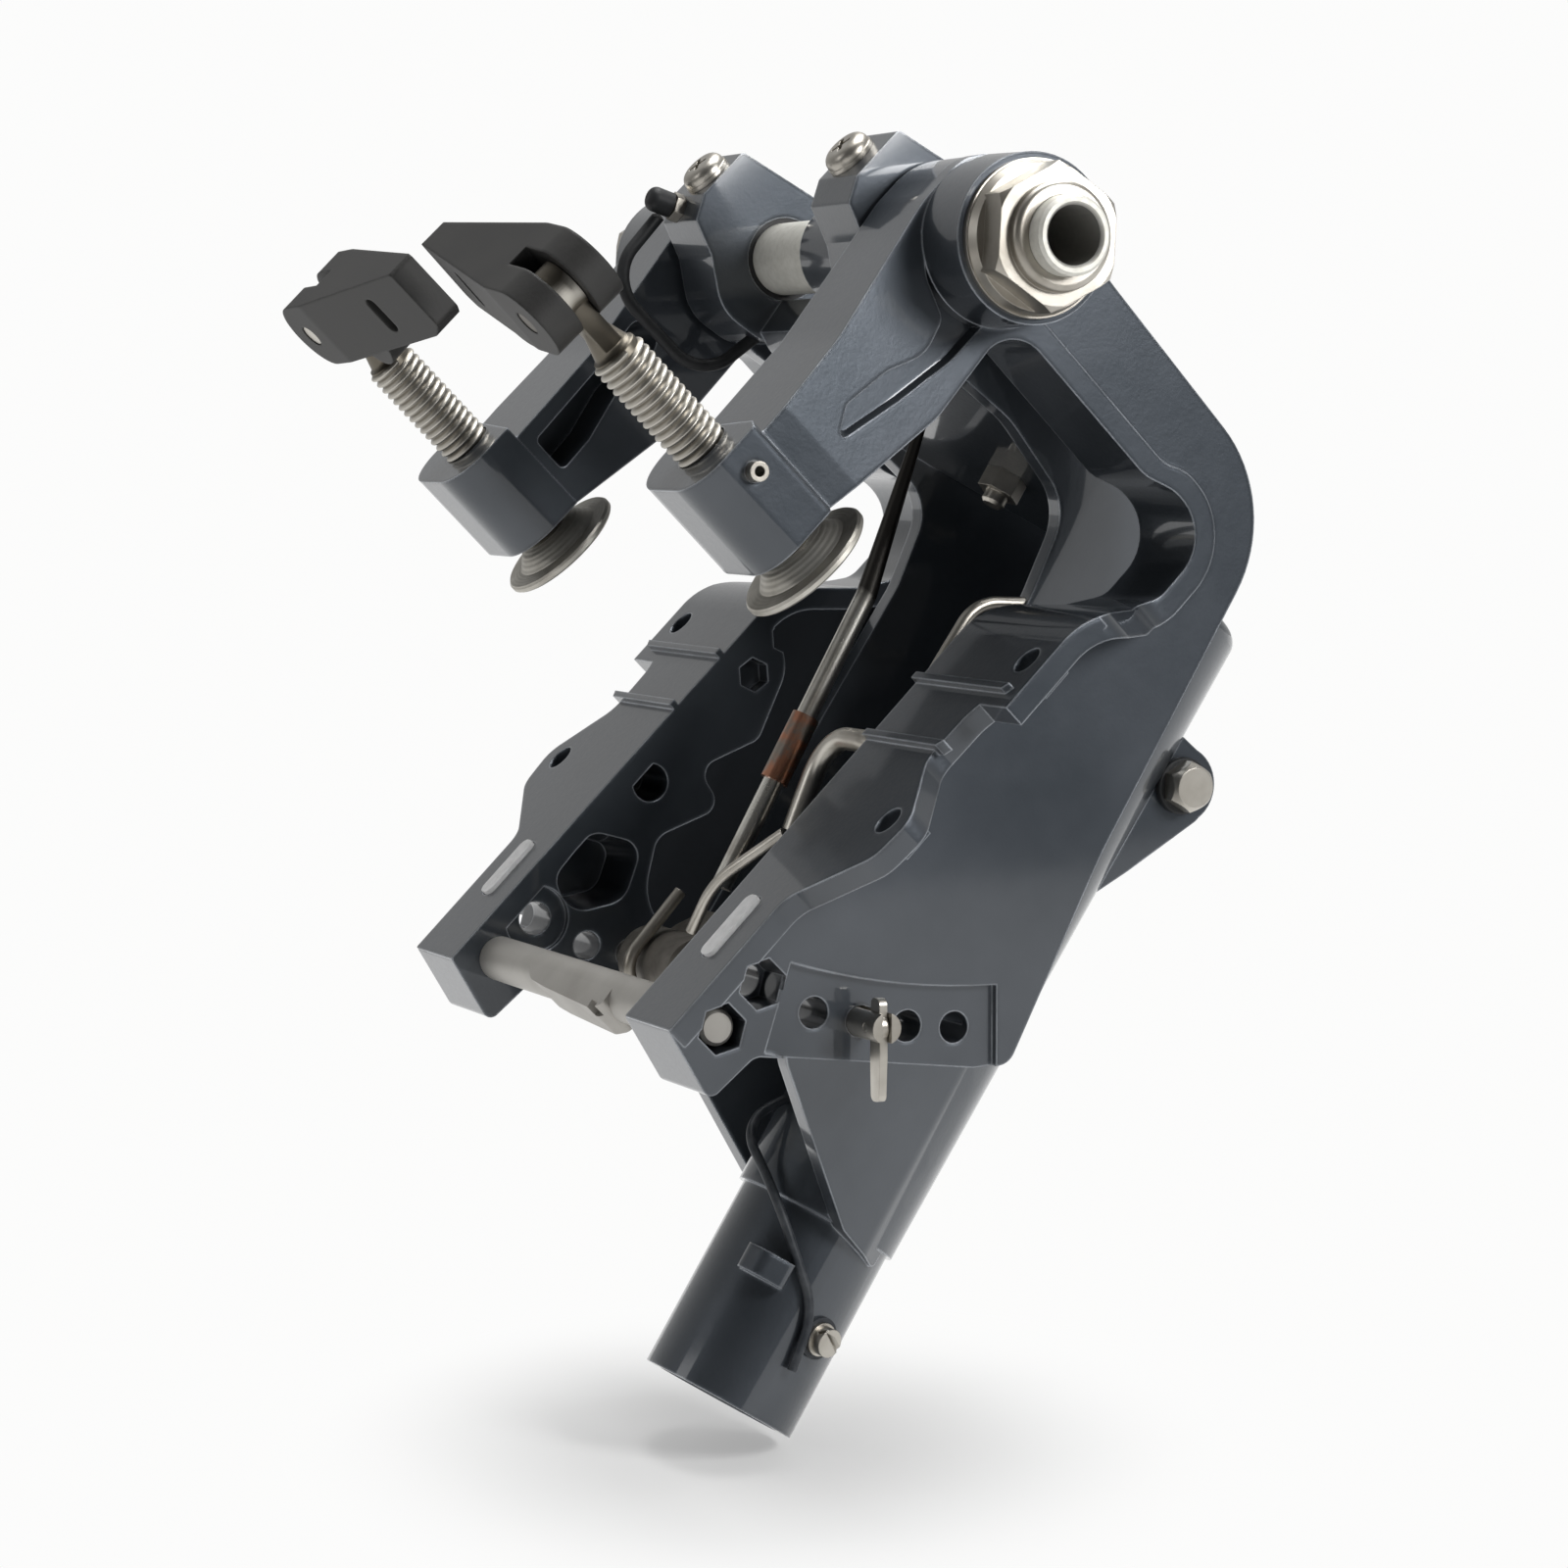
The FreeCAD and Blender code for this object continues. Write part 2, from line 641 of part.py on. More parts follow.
def stop_peg(side):
    """Hollow spring peg in the outboard side of the clamp boss."""
    x = SCREW_X + 21.0
    peg = across(2.8, x - 3.5, x + 3.2, -12.0, SCREW_Z)
    peg = peg.cut(across(1.5, x - 5.0, x + 5.0, -12.0, SCREW_Z))
    if side < 0:
        peg = mirrored(peg)
    return peg


def turned_with_screw(shape, side):
    """A shape made square to the screw, turned about the screw's own axis."""
    shape.rotate(V(SCREW_X, 0, SCREW_Z), Y_AXIS, TURN[side])
    return shape


def clamp_screw(side):
    """Threaded screw with a flattened eye for the folding lever."""
    thread = rod(V(SCREW_X, THREAD_Y0, SCREW_Z), V(SCREW_X, PAD_Y - 5.0, SCREW_Z), SCREW_R)
    rims = [e for e in thread.Edges if e.Length < 60 and abs(e.CenterOfMass.x - SCREW_X) < 0.1
            and (abs(e.CenterOfMass.y - THREAD_Y0) < 0.1 or abs(e.CenterOfMass.y - PAD_Y + 5) < 0.1)]
    thread = thread.makeChamfer(PITCH / 2, rims)
    neck = rod(V(SCREW_X, THREAD_Y0 + 1, SCREW_Z), V(SCREW_X, PIN_Y, SCREW_Z), 5.6)
    flat = Part.makeBox(30, 60, EYE_T, V(SCREW_X - 15, PIN_Y - 40, SCREW_Z - EYE_T / 2))
    swell = Part.makeCone(EYE_T / 2, 6.0, 10.0, V(SCREW_X, PIN_Y + 12, SCREW_Z), Y_AXIS)
    neck = fuse([neck.common(flat), swell])
    eye = rod(V(SCREW_X, PIN_Y, SCREW_Z - EYE_T / 2), V(SCREW_X, PIN_Y, SCREW_Z + EYE_T / 2), EYE_R)
    spigot = rod(V(SCREW_X, PAD_Y - 6, SCREW_Z), V(SCREW_X, PAD_Y - 1.0, SCREW_Z), 4.5)
    whole = fuse([thread, neck, eye, spigot])
    whole = whole.cut(rod(V(SCREW_X, PIN_Y, SCREW_Z - 10), V(SCREW_X, PIN_Y, SCREW_Z + 10), PIN_R + FIT))
    whole = turned_with_screw(whole, side)
    if side < 0:
        whole = mirrored(whole)
    return whole


def clamp_pad(side):
    """Dished swivel pad on the end of the clamp screw."""
    y = PAD_Y
    profile = [
        V(4.56, y - 4.7, 0),
        V(9.0, y - 4.7, 0),
        V(11.5, y - 3.0, 0),
        V(15.0, y + 0.6, 0),
        V(PAD_R - 0.6, y + 0.9, 0),
        V(PAD_R, y + 1.6, 0),
        V(PAD_R, y + 2.8, 0),
        V(PAD_R - 0.6, y + 3.4, 0),
        V(0, y + 3.4, 0),
        V(0, y - 0.7, 0),
        V(4.56, y - 0.7, 0),
    ]
    profile.append(profile[0])
    face = Part.Face(Part.makePolygon(profile))
    pad = face.revolve(V(0, 0, 0), Y_AXIS, 360)
    pad.translate(V(SCREW_X, 0, SCREW_Z))
    if side < 0:
        pad = mirrored(pad)
    return pad


def lever(side):
    """Folding plastic lever, forked round the eye of the clamp screw."""
    z0 = SCREW_Z - LEVER_H / 2
    z1 = SCREW_Z + LEVER_H / 2
    drum = rod(V(SCREW_X, PIN_Y, z0), V(SCREW_X, PIN_Y, z1), LEVER_R)
    blade = flat_plate(
        (
            (SCREW_X, PIN_Y - LEVER_R, 0),
            (SCREW_X - LEVER_L, PIN_Y - LEVER_R, 1.5),
            (SCREW_X - LEVER_L, PIN_Y + LEVER_R - 3.0, 2.0),
            (SCREW_X - LEVER_L + 5, PIN_Y + LEVER_R, 3.0),
            (SCREW_X, PIN_Y + LEVER_R, 0),
        ), z0, z1)
    taper = front_plate(
        (
            (SCREW_X + 20, z0, 0),
            (SCREW_X - 12, z0, 20.0),
            (SCREW_X - LEVER_L - 1, SCREW_Z - LEVER_TIP_T / 2, 0),
            (SCREW_X - LEVER_L - 1, SCREW_Z + LEVER_TIP_T / 2, 0),
            (SCREW_X - 12, z1, 20.0),
            (SCREW_X + 20, z1, 0),
        ), PIN_Y - 40, PIN_Y + 40)
    thumb = rod(V(SCREW_X - 30, PIN_Y + 7.0, SCREW_Z - 9.0), V(SCREW_X - 30, PIN_Y + 7.0, SCREW_Z + 1.0), 10.0)
    body = fuse([drum, blade, thumb]).common(taper)
    slot = Part.makeBox(40, 60, EYE_T + 0.6, V(SCREW_X - 10.5, PIN_Y - 30, SCREW_Z - EYE_T / 2 - 0.3))
    body = body.cut(slot)
    body = body.cut(rod(V(SCREW_X, PIN_Y, z0 - 5), V(SCREW_X, PIN_Y, z1 + 5), PIN_R + FIT))
    body = body.cut(rod(V(SCREW_X, PIN_Y, z0 - 5), V(SCREW_X, PIN_Y, z0 + 1.5), 3.8))
    recess = flat_plate(
        ((SCREW_X - 56, PIN_Y - 6.5, 2.4), (SCREW_X - 51, PIN_Y - 6.5, 2.4), (SCREW_X - 51, PIN_Y + 6.5, 2.4),
         (SCREW_X - 56, PIN_Y + 6.5, 2.4)), z0 - 5, SCREW_Z - 3.5)
    body = body.cut(recess)
    body.rotate(V(SCREW_X, PIN_Y, 0), Z_AXIS, FOLD[side])
    body = turned_with_screw(body, side)
    if side < 0:
        body = mirrored(body)
    return body


def lever_pin(side):
    z0 = SCREW_Z - LEVER_H / 2 + 1.5
    z1 = SCREW_Z + LEVER_H / 2
    pin = rod(V(SCREW_X, PIN_Y, z0 - 0.9), V(SCREW_X, PIN_Y, z1 + 0.6), PIN_R)
    head = rod(V(SCREW_X, PIN_Y, z0 - 1.2), V(SCREW_X, PIN_Y, z0), 3.6)
    pin = turned_with_screw(fuse([pin, head]), side)
    if side < 0:
        pin = mirrored(pin)
    return pin


def hub_profile(grow):
    """Section of a tilt hub, about the tilt axis, in the assembly's own frame."""
    r = HUB_R + grow
    return ((-33.3, 12.6, 1.5), (-33.3, -6.0, 1.5), (-29.6, -13.4, 1.5), (-18.0, -17.5, 6.0), (-4.0, -r - 2.0, 16.0), (16.0, -r + 2.0, 16.0),
            (r + 1.0, -2.0, 16.0), (16.0, 21.0, 16.0), (0.0, 22.5, 20.0))


def swivel_bracket():
    """Casting that joins the tilt hubs to the steering tube."""
    steer = Part.makeCylinder(STEER_R, BARREL_Z0 + 20)
    barrel = Part.makeCone(BARREL_LOW_R, BARREL_TOP_R, BARREL_Z1 - BARREL_Z0, V(0, 0, BARREL_Z0))
    rims = [e for e in barrel.Edges if abs(e.CenterOfMass.z - BARREL_Z1) < 0.1 and e.Length > 100]
    barrel = barrel.makeFillet(5.0, rims)
    cheek_side = side_plate(
        (
            (14.0, 56.0, 2.0),
            (-6.0, 61.0, 4.0),
            (-56.0, 93.0, 8.0),
            (-63.2, 100.0, 3.0),
            (-60.0, 250.0, 30.0),
            (-64.0, 279.0, 16.0),
            (-98.0, 288.0, 30.0),
            (-140.0, 289.0, 10.0),
            (-160.0, 312.0, 12.0),
            (-150.0, 330.0, 12.0),
            (-112.0, 326.0, 60.0),
            (10.0, 284.0, 8.0),
            (22.0, 200.0, 0),
        ), -80, 80)
    cheeks = []
    for sign in (1, -1):
        plan = flat_plate(
            (
                (sign * 20.0, 16.0, 0),
                (sign * 27.5, 6.0, 8.0),
                (sign * 46.0, -58.0, 60.0),
                (sign * 60.0, -118.0, 30.0),
                (sign * 60.0, -170.0, 0),
                (sign * 53.0, -170.0, 0),
                (sign * 53.0, -118.0, 26.0),
                (sign * 39.5, -58.0, 60.0),
                (sign * 21.0, 2.0, 0),
            ), 40, 340)
        cheeks.append(plan.common(cheek_side))
    back = flat_plate(((-24.0, -20.0, 0), (24.0, -20.0, 0), (43.0, -72.0, 0), (52.0, -126.0, 0), (-52.0, -126.0, 0),
                       (-43.0, -72.0, 0)), ROOF_Z, ROOF_Z + 6.0)
    floor = flat_plate(((-24.0, -16.0, 0), (24.0, -16.0, 0), (39.0, -54.0, 0), (-39.0, -54.0, 0)), 122.0, 127.0)
    ears = fuse([
        across(12.5, -EAR_X, EAR_X, EAR_Y, EAR_Z),
        side_plate(((10.0, 252.0, 0), (34.0, 248.4, 0), (46.4, 232.0, 6.0), (32.0, 204.0, 14.0), (24.0, 190.0, 0),
                    (10.0, 186.0, 0)), -EAR_X, EAR_X),
    ])
    rib = side_plate(((-20.0, 120.0, 0), (-34.0, 130.0, 10.0), (-40.0, 255.0, 10.0), (-20.0, 262.0, 0)), -3.0, 3.0)
    body = fuse([steer, barrel] + cheeks + [back, floor, ears, rib])
    body = body.cut(Part.makeCylinder(STEER_BORE_R, 400, V(0, 0, -20)))
    body = body.cut(Part.makeBox(2.4, 60, 60, V(-1.2, 15, 196)))
    body = body.cut(across(4.1, -30, 30, EAR_Y, EAR_Z))
    for sign in (1, -1):
        body = body.cut(across(9.4, sign * EAR_X, sign * (EAR_X + 12.0), EAR_Y, EAR_Z))
    body = body.cut(rod(on_tube(-3.4), on_tube(8), 2.6))
    lug = flat_plate(((-4.0, -18.0, 0), (8.0, -18.0, 0), (14.0, -27.0, 2.0), (6.0, -33.5, 5.0), (-2.0, -31.0, 4.0)), 0, 8)
    lug.rotate(V(0, 0, 0), Z_AXIS, 38)
    lug.translate(V(0, 0, 37))
    lug = lug.cut(Part.makeCylinder(STEER_BORE_R + 1, 60, V(0, 0, 20)))
    body = body.fuse(lug)
    body = to_row(body)
    # Tilt hubs are square to the tilt axis, so they are made in the assembly's frame
    hubs = []
    for sign in (1, -1):
        x0 = min(sign * HUB_X0, sign * HUB_X1)
        hubs.append(side_plate(hub_profile(0), x0, x0 + HUB_X1 - HUB_X0))
    sleeve = across(15.5, 2.0, HUB_X0 + 1, 0, 0)
    saddle = side_plate(((-14.0, 5.0, 0), (-27.0, 14.0, 2.0), (-22.0, 20.0, 3.0), (0, 15.0, 0)), 14.0, HUB_X0 + 1)
    crosswall = side_plate(((8.0, -8.0, 0), (22.0, -2.0, 0), (30.0, -14.0, 4.0), (20.0, -24.0, 8.0), (10.0, -22.0, 0)),
                           -HUB_X0 - 1, HUB_X0 + 1)
    body = fuse([body] + hubs + [sleeve, saddle, crosswall])
    body = body.cut(across(TUBE_R + 1.6, -80, 80, 0, 0))
    for sign in (1, -1):
        body = body.cut(rod(V(sign * HUB_SCREW_X, -60, HUB_SCREW_Z), V(sign * HUB_SCREW_X, -20, HUB_SCREW_Z), 4.0))
    body = body.cut(rod(NIPPLE_AT, NIPPLE_AT.sub(V(NIPPLE_DIR).multiply(8.0)), 2.6))
    body = body.cut(rod(NIPPLE_AT, NIPPLE_AT.add(V(NIPPLE_DIR).multiply(4.0)), 5.0))
    return body.removeSplitter()


def tilt_bush(side):
    """Flanged plastic bush between the hub and the tilt tube."""
    if side > 0:
        x0, x1 = 2.4, HUB_X1
    else:
        x0, x1 = HUB_X0, HUB_X1
    bush = across(TUBE_R + 1.55, x0, x1, 0, 0)
    flange = across(TUBE_R + 4.5, HUB_X1 + 0.05, HUB_X1 + 2.4, 0, 0)
    bush = fuse([bush, flange, across(TUBE_R + 1.55, HUB_X1 - 1, HUB_X1 + 1, 0, 0)])
    bush = bush.cut(across(TUBE_R + FIT, -10, 100, 0, 0))
    if side < 0:
        bush = mirrored(bush)
    return bush


def hub_screw(side):
    """Pan-head cross-recess screw in the face of a tilt hub."""
    y0 = -32.4
    head = Part.makeCylinder(7.3, 5.2, V(0, 0, 0), V(0, -1, 0))
    top = [e for e in head.Edges if abs(e.CenterOfMass.y + 5.2) < 0.01]
    head = head.makeFillet(3.2, top)
    head = head.fuse(Part.makeCylinder(7.6, 1.4, V(0, 0, 0), V(0, -1, 0)))
    for angle in (45, 135):
        cross = Part.makeBox(1.5, 3, 7.0, V(-0.75, -6.2, -3.5))
        cross.rotate(V(0, 0, 0), Y_AXIS, angle)
        head = head.cut(cross)
    shank = Part.makeCylinder(3.95, 12, V(0, 0, 0), V(0, 1, 0))
    screw = fuse([head, shank])
    screw.translate(V(HUB_SCREW_X, y0 - 0.9, HUB_SCREW_Z))
    if side < 0:
        screw = mirrored(screw)
    return screw


def grease_nipple():
    """Hexagon-based nipple in the starboard hub."""
    hexed = hexagon(8.0, 0, 3.2, 0, 0, 0)
    turned = fuse([hexed, across(2.2, 3, 7.0, 0, 0), across(2.3, -7.0, 0.1, 0, 0)])
    return set_on_nipple_axis(turned)


def nipple_cap():
    """Soft cap pushed over the end of the nipple."""
    cap = across(3.9, 3.6, 11.5, 0, 0)
    end = [e for e in cap.Edges if abs(e.CenterOfMass.x - 11.5) < 0.1]
    cap = cap.makeFillet(2.6, end)
    cap = cap.cut(across(2.2, 3.0, 7.0, 0, 0))
    return set_on_nipple_axis(cap)


def set_on_nipple_axis(shape):
    turn = FreeCAD.Rotation(X_AXIS, NIPPLE_DIR)
    shape.Placement = FreeCAD.Placement(NIPPLE_AT, turn)
    return shape


def nipple_hose(hub):
    """Soft hose that hangs from the nipple and runs under the starboard hub."""
    hose = tube_route(HOSE_ROUTE, HOSE_R)
    taken = fuse([hub, set_on_nipple_axis(across(5.0, -1.0, 12.0, 0, 0))])
    return hose.cut(taken)


def ear_bolt():
    """Bolt that pinches the two ears of the steering barrel."""
    shank = across(4.0, -EAR_X - 9.5, EAR_X + 3, EAR_Y, EAR_Z)
    head = hexagon(14.0, EAR_X + RING_T, EAR_X + RING_T + 7.0, EAR_Y, EAR_Z, 0)
    crown = Part.makeCone(10.5, 6.2, 7.0, V(EAR_X + RING_T, EAR_Y, EAR_Z), X_AXIS)
    return to_row(fuse([shank, head.common(crown)]))


def ear_ring():
    ring = across(9.0, EAR_X, EAR_X + RING_T, EAR_Y, EAR_Z)
    ring = ring.makeFillet(0.8, [e for e in ring.Edges if e.Length > 40])
    return to_row(ring.cut(across(4.0, 0, 40, EAR_Y, EAR_Z)))


def ear_nut():
    nut = hexagon(13.0, -EAR_X - 7.5, -EAR_X, EAR_Y, EAR_Z, 30)
    crown = Part.makeCone(6.6, 10.5, 7.6, V(-EAR_X - 7.6, EAR_Y, EAR_Z), X_AXIS)
    return to_row(nut.common(crown).cut(across(4.0, -60, 0, EAR_Y, EAR_Z)))


def stay_nut():
    """Nut and stud end under the top wall of the swivel bracket."""
    nut = hexagon(12.0, 0, 6.5, 0, 0, 20)
    stud = across(3.8, 5, 10.5, 0, 0)
    tip = [e for e in stud.Edges if abs(e.CenterOfMass.x - 10.5) < 0.1]
    stud = stud.makeChamfer(1.0, tip)
    shape = fuse([nut, stud])
    shape.rotate(V(0, 0, 0), Y_AXIS, 90)
    shape.translate(V(0, -64.0, ROOF_Z))
    return to_row(shape)


def lock_strut():
    """Rod of the tilt lock, its upper end pressed flat."""
    tube = rod(STRUT_LOW, STRUT_KNEE, STRUT_R)
    up = V(STRUT_TOP).sub(STRUT_KNEE)
    neck = Part.makeCone(STRUT_R, 1.5, up.Length, STRUT_KNEE, up)
    shape = fuse([tube, neck])
    shape = shape.cut(Part.makeBox(60, 60, 60, V(-30, STRUT_TOP.y - 30, ROOF_Z)))
    return to_row(shape)


def strut_sleeve():
    """Crimped collar on the strut."""
    along = V(STRUT_KNEE).sub(STRUT_LOW)
    along.normalize()
    start = V(STRUT_LOW).add(V(along).multiply(36.0))
    end = V(STRUT_LOW).add(V(along).multiply(58.0))
    sleeve = rod(start, end, STRUT_R + 1.1)
    return to_row(sleeve.cut(rod(STRUT_LOW, STRUT_KNEE, STRUT_R)))


def release_shaft(casting):
    """Bent rod that comes forward from the port cheek and turns down beside the strut."""
    return to_row(tube_route(SHAFT_ROUTE, SHAFT_R)).cut(casting)


def return_spring(casting):
    """Wire staple on the front edge of the port cheek."""
    return to_row(tube_route(STAPLE_ROUTE, 1.9)).cut(casting)


def release_wire():
    """Wire from the release shaft down to the trim rod."""
    wire = tube_route(WIRE_ROUTE, 1.8)
    taken = fuse([tube_route(SHAFT_ROUTE, SHAFT_R), rod(STRUT_LOW, STRUT_KNEE, STRUT_R)])
    return to_row(wire.cut(taken))


def lock_claw():
    """Catch that turns on the trim rod and closes over its front."""
    y, z = trim_hole(TRIM_INDEX)
    x0, x1 = CLAW_X
    shell = across(CLAW_R, x0, x1, y, z).cut(across(CLAW_R - 3.0, x0 - 1, x1 + 1, y, z))
    keep = side_plate(((y + 2.0, z + 2.0, 0), (y + 2.0, z + 30.0, 0), (y - 30.0, z + 30.0, 0), (y - 30.0, z - 30.0, 0),
                       (y - 4.0, z - 30.0, 0), (y - 4.0, z - 2.0, 0)), x0 - 1, x1 + 1)
    shell = shell.common(keep)
    discs = [across(CLAW_R, x0, x0 + 2.6, y, z), across(CLAW_R - 1.0, x0 + 22.0, x0 + 24.5, y, z)]
    # A tongue stands up behind the rod, higher towards the middle of the bracket
    tongue = front_plate(((x0 + 3.0, z + 5.0, 0), (x0 + 5.0, z + 12.0, 4.0), (x0 + 16.0, z + 20.0, 5.0),
                          (x1, z + 20.0, 2.0), (x1, z + 5.0, 0)), y - 3.6, y - 1.1)
    claw = fuse([shell, tongue] + discs)
    return claw.cut(across(TRIM_ROD_R + FIT, -100, 100, y, z))


def hook_wire():
    """Spring wire bent round the outside of the catch."""
    y, z = trim_hole(TRIM_INDEX)
    gap = CLAW_R + HOOK_R
    route = []
    for x, dy, dz in ((-34.0, -gap - 1.4, 18.2), (-34.0, -gap + 0.4, -gap - 0.2), (-34.0, 8.0, -gap - 0.2)):
        route.append(V(x, y + dy, z + dz))
    wire = tube_route(route, HOOK_R)
    return wire.cut(across(CLAW_R, CLAW_X[0], CLAW_X[1], y, z))


def earth_lead(casting):
    """Thin lead that leaves the barrel, crosses the steering tube and ends in a ring terminal."""
    lead = tube_route(LEAD_ROUTE, LEAD_R)
    eye = rod(on_tube(-0.5), on_tube(TAG_T), 6.6)
    lead = to_row(fuse([lead, eye]).cut(rod(on_tube(-5), on_tube(20), 2.6)))
    return lead.cut(casting)


def on_tube(out):
    """Point on the radial line of the terminal screw, so far out from the steering tube."""
    angle = math.radians(TERMINAL_ANGLE)
    r = STEER_R + out
    return V(r * math.cos(angle), r * math.sin(angle), TERMINAL_Z)


def terminal_screw():
    """Screw and washer that hold the ring terminal."""
    washer = rod(on_tube(TAG_T), on_tube(TAG_T + 1.2), 5.2)
    head = rod(on_tube(TAG_T + 1.1), on_tube(TAG_T + 4.8), 4.4)
    shank = rod(on_tube(-3.0), on_tube(TAG_T + 1), 2.55)
    slot = Part.makeBox(1.3, 20, 2.6, V(-0.65, -10, 0))
    slot.Placement = FreeCAD.Placement(on_tube(TAG_T + 3.4), FreeCAD.Rotation(Z_AXIS, on_tube(1)))
    return to_row(fuse([washer, head, shank]).cut(slot))


def steering_bush(top):
    """Split plastic bush pressed into one end of the steering tube."""
    z0 = 0.5
    if top:
        z0 = BARREL_Z1 - 40.5
    bush = Part.makeCylinder(STEER_BORE_R - 0.03, 40, V(0, 0, z0))
    bush = bush.cut(Part.makeCylinder(STEER_BORE_R - 2.5, 60, V(0, 0, z0 - 5)))
    return to_row(bush)


def main():
    os.makedirs("parts", exist_ok=True)
    casting = swivel_bracket()
    parts = {
        "port_clamp_bracket": clamp_bracket(1),
        "starboard_clamp_bracket": clamp_bracket(-1),
        "tilt_tube": tilt_tube(),
        "tie_rod": tie_rod(),
        "tie_rod_saddle": tie_saddle(),
        "trim_rod": trim_rod(),
        "trim_toggle": trim_toggle(),
        "toggle_pin": toggle_pin(),
        "swivel_bracket": casting,
        "lower_steering_bush": steering_bush(False),
        "upper_steering_bush": steering_bush(True),
        "grease_nipple": grease_nipple(),
        "nipple_cap": nipple_cap(),
        "nipple_hose": nipple_hose(casting),
        "ear_bolt": ear_bolt(),
        "ear_ring": ear_ring(),
        "ear_nut": ear_nut(),
        "stay_nut": stay_nut(),
        "lock_strut": lock_strut(),
        "strut_sleeve": strut_sleeve(),
        "release_shaft": release_shaft(casting),
        "return_spring": return_spring(casting),
        "release_wire": release_wire(),
        "lock_claw": lock_claw(),
        "hook_wire": hook_wire(),
        "earth_lead": earth_lead(casting),
        "terminal_screw": terminal_screw(),
    }
    for name, side in (("port", 1), ("starboard", -1)):
        parts[name + "_tilt_nut"] = tilt_nut(side)
        parts[name + "_tilt_washer"] = tilt_washer(side)
        parts[name + "_wear_strip"] = wear_strip(side)
        parts[name + "_stop_peg"] = stop_peg(side)
        parts[name + "_clamp_screw"] = clamp_screw(side)
        parts[name + "_clamp_pad"] = clamp_pad(side)
        parts[name + "_lever"] = lever(side)
        parts[name + "_lever_pin"] = lever_pin(side)
        parts[name + "_tilt_bush"] = tilt_bush(side)
        parts[name + "_hub_screw"] = hub_screw(side)
    for name, shape in parts.items():
        print(name, "valid", shape.isValid(), "solids", len(shape.Solids), "volume", round(shape.Volume / 1000, 1))
        shape.exportStep("parts/" + name + ".step")


main()
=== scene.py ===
import json
import math

import bmesh
import bpy
from mathutils import Matrix, Vector


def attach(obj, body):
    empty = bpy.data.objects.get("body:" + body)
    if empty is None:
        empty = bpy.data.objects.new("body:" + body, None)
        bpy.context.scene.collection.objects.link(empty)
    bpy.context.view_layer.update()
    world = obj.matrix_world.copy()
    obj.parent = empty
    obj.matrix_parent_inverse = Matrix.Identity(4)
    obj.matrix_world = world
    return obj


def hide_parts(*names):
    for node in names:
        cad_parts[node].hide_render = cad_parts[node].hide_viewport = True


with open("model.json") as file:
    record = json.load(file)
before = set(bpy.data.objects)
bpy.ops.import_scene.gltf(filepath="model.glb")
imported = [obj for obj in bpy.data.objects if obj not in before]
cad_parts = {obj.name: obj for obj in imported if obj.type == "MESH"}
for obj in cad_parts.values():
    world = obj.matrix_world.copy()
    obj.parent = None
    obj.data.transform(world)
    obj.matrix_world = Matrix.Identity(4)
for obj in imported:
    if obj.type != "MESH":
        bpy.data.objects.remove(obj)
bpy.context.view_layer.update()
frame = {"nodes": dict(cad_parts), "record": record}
nodes = frame["nodes"]

# The camera stands below and to port of the bracket and is rolled, as the
# photographer's was: the bracket hangs in its working place in this frame, and
# the picture shows it leaning on the end of its steering tube.
VIEW_RIGHT = Vector((0.43285595, 0.63532458, 0.63952982))
VIEW_UP = Vector((-0.0796572, -0.67970344, 0.72914879))
VIEW_BACK = Vector((0.89793678, -0.36655955, -0.2436055))
CAMERA_AT = Vector((1.1022, -0.3509, -0.4252))
LENS_MM = 93.25
SENSOR_MM = 36
camera_data = bpy.data.cameras.new("photo_camera")
camera_data.sensor_width = SENSOR_MM
camera_data.lens = LENS_MM
camera_data.clip_end = 20
camera = bpy.data.objects.new("photo_camera", camera_data)
place = Matrix((VIEW_RIGHT, VIEW_UP, VIEW_BACK)).transposed().to_4x4()
place.translation = CAMERA_AT
camera.matrix_world = place
bpy.context.scene.collection.objects.link(camera)
bpy.context.scene.camera = camera


# The studio: a white sweep under the steering tube, level in the photograph,
# so it leans in the bracket's own frame. It is seen from above only, and
# from below it is clear, so that it hides nothing from the other sides.
def new_object(name, shape):
    """Puts the finished shape into the scene under that name."""
    mesh = bpy.data.meshes.new(name)
    shape.to_mesh(mesh)
    shape.free()
    made = bpy.data.objects.new(name, mesh)
    bpy.context.scene.collection.objects.link(made)
    return made


FLOOR_TILT = math.radians(9)
FLOOR_GAP = 0.002
FLOOR_HALF = 2.5
FLOOR_UP = (VIEW_UP * math.cos(FLOOR_TILT) + VIEW_BACK * math.sin(FLOOR_TILT)).normalized()
foot = min((v.co for v in nodes["swivel_bracket"].data.vertices), key=FLOOR_UP.dot).copy()
floor_height = foot.dot(FLOOR_UP) - FLOOR_GAP
floor_mesh = bmesh.new()
bmesh.ops.create_grid(floor_mesh, x_segments=1, y_segments=1, size=FLOOR_HALF)
level = FLOOR_UP.to_track_quat("Z", "Y").to_matrix().to_4x4()
to_floor = Matrix.Translation(FLOOR_UP * floor_height) @ level
bmesh.ops.transform(floor_mesh, matrix=to_floor, verts=floor_mesh.verts)
floor = new_object("studio_floor", floor_mesh)

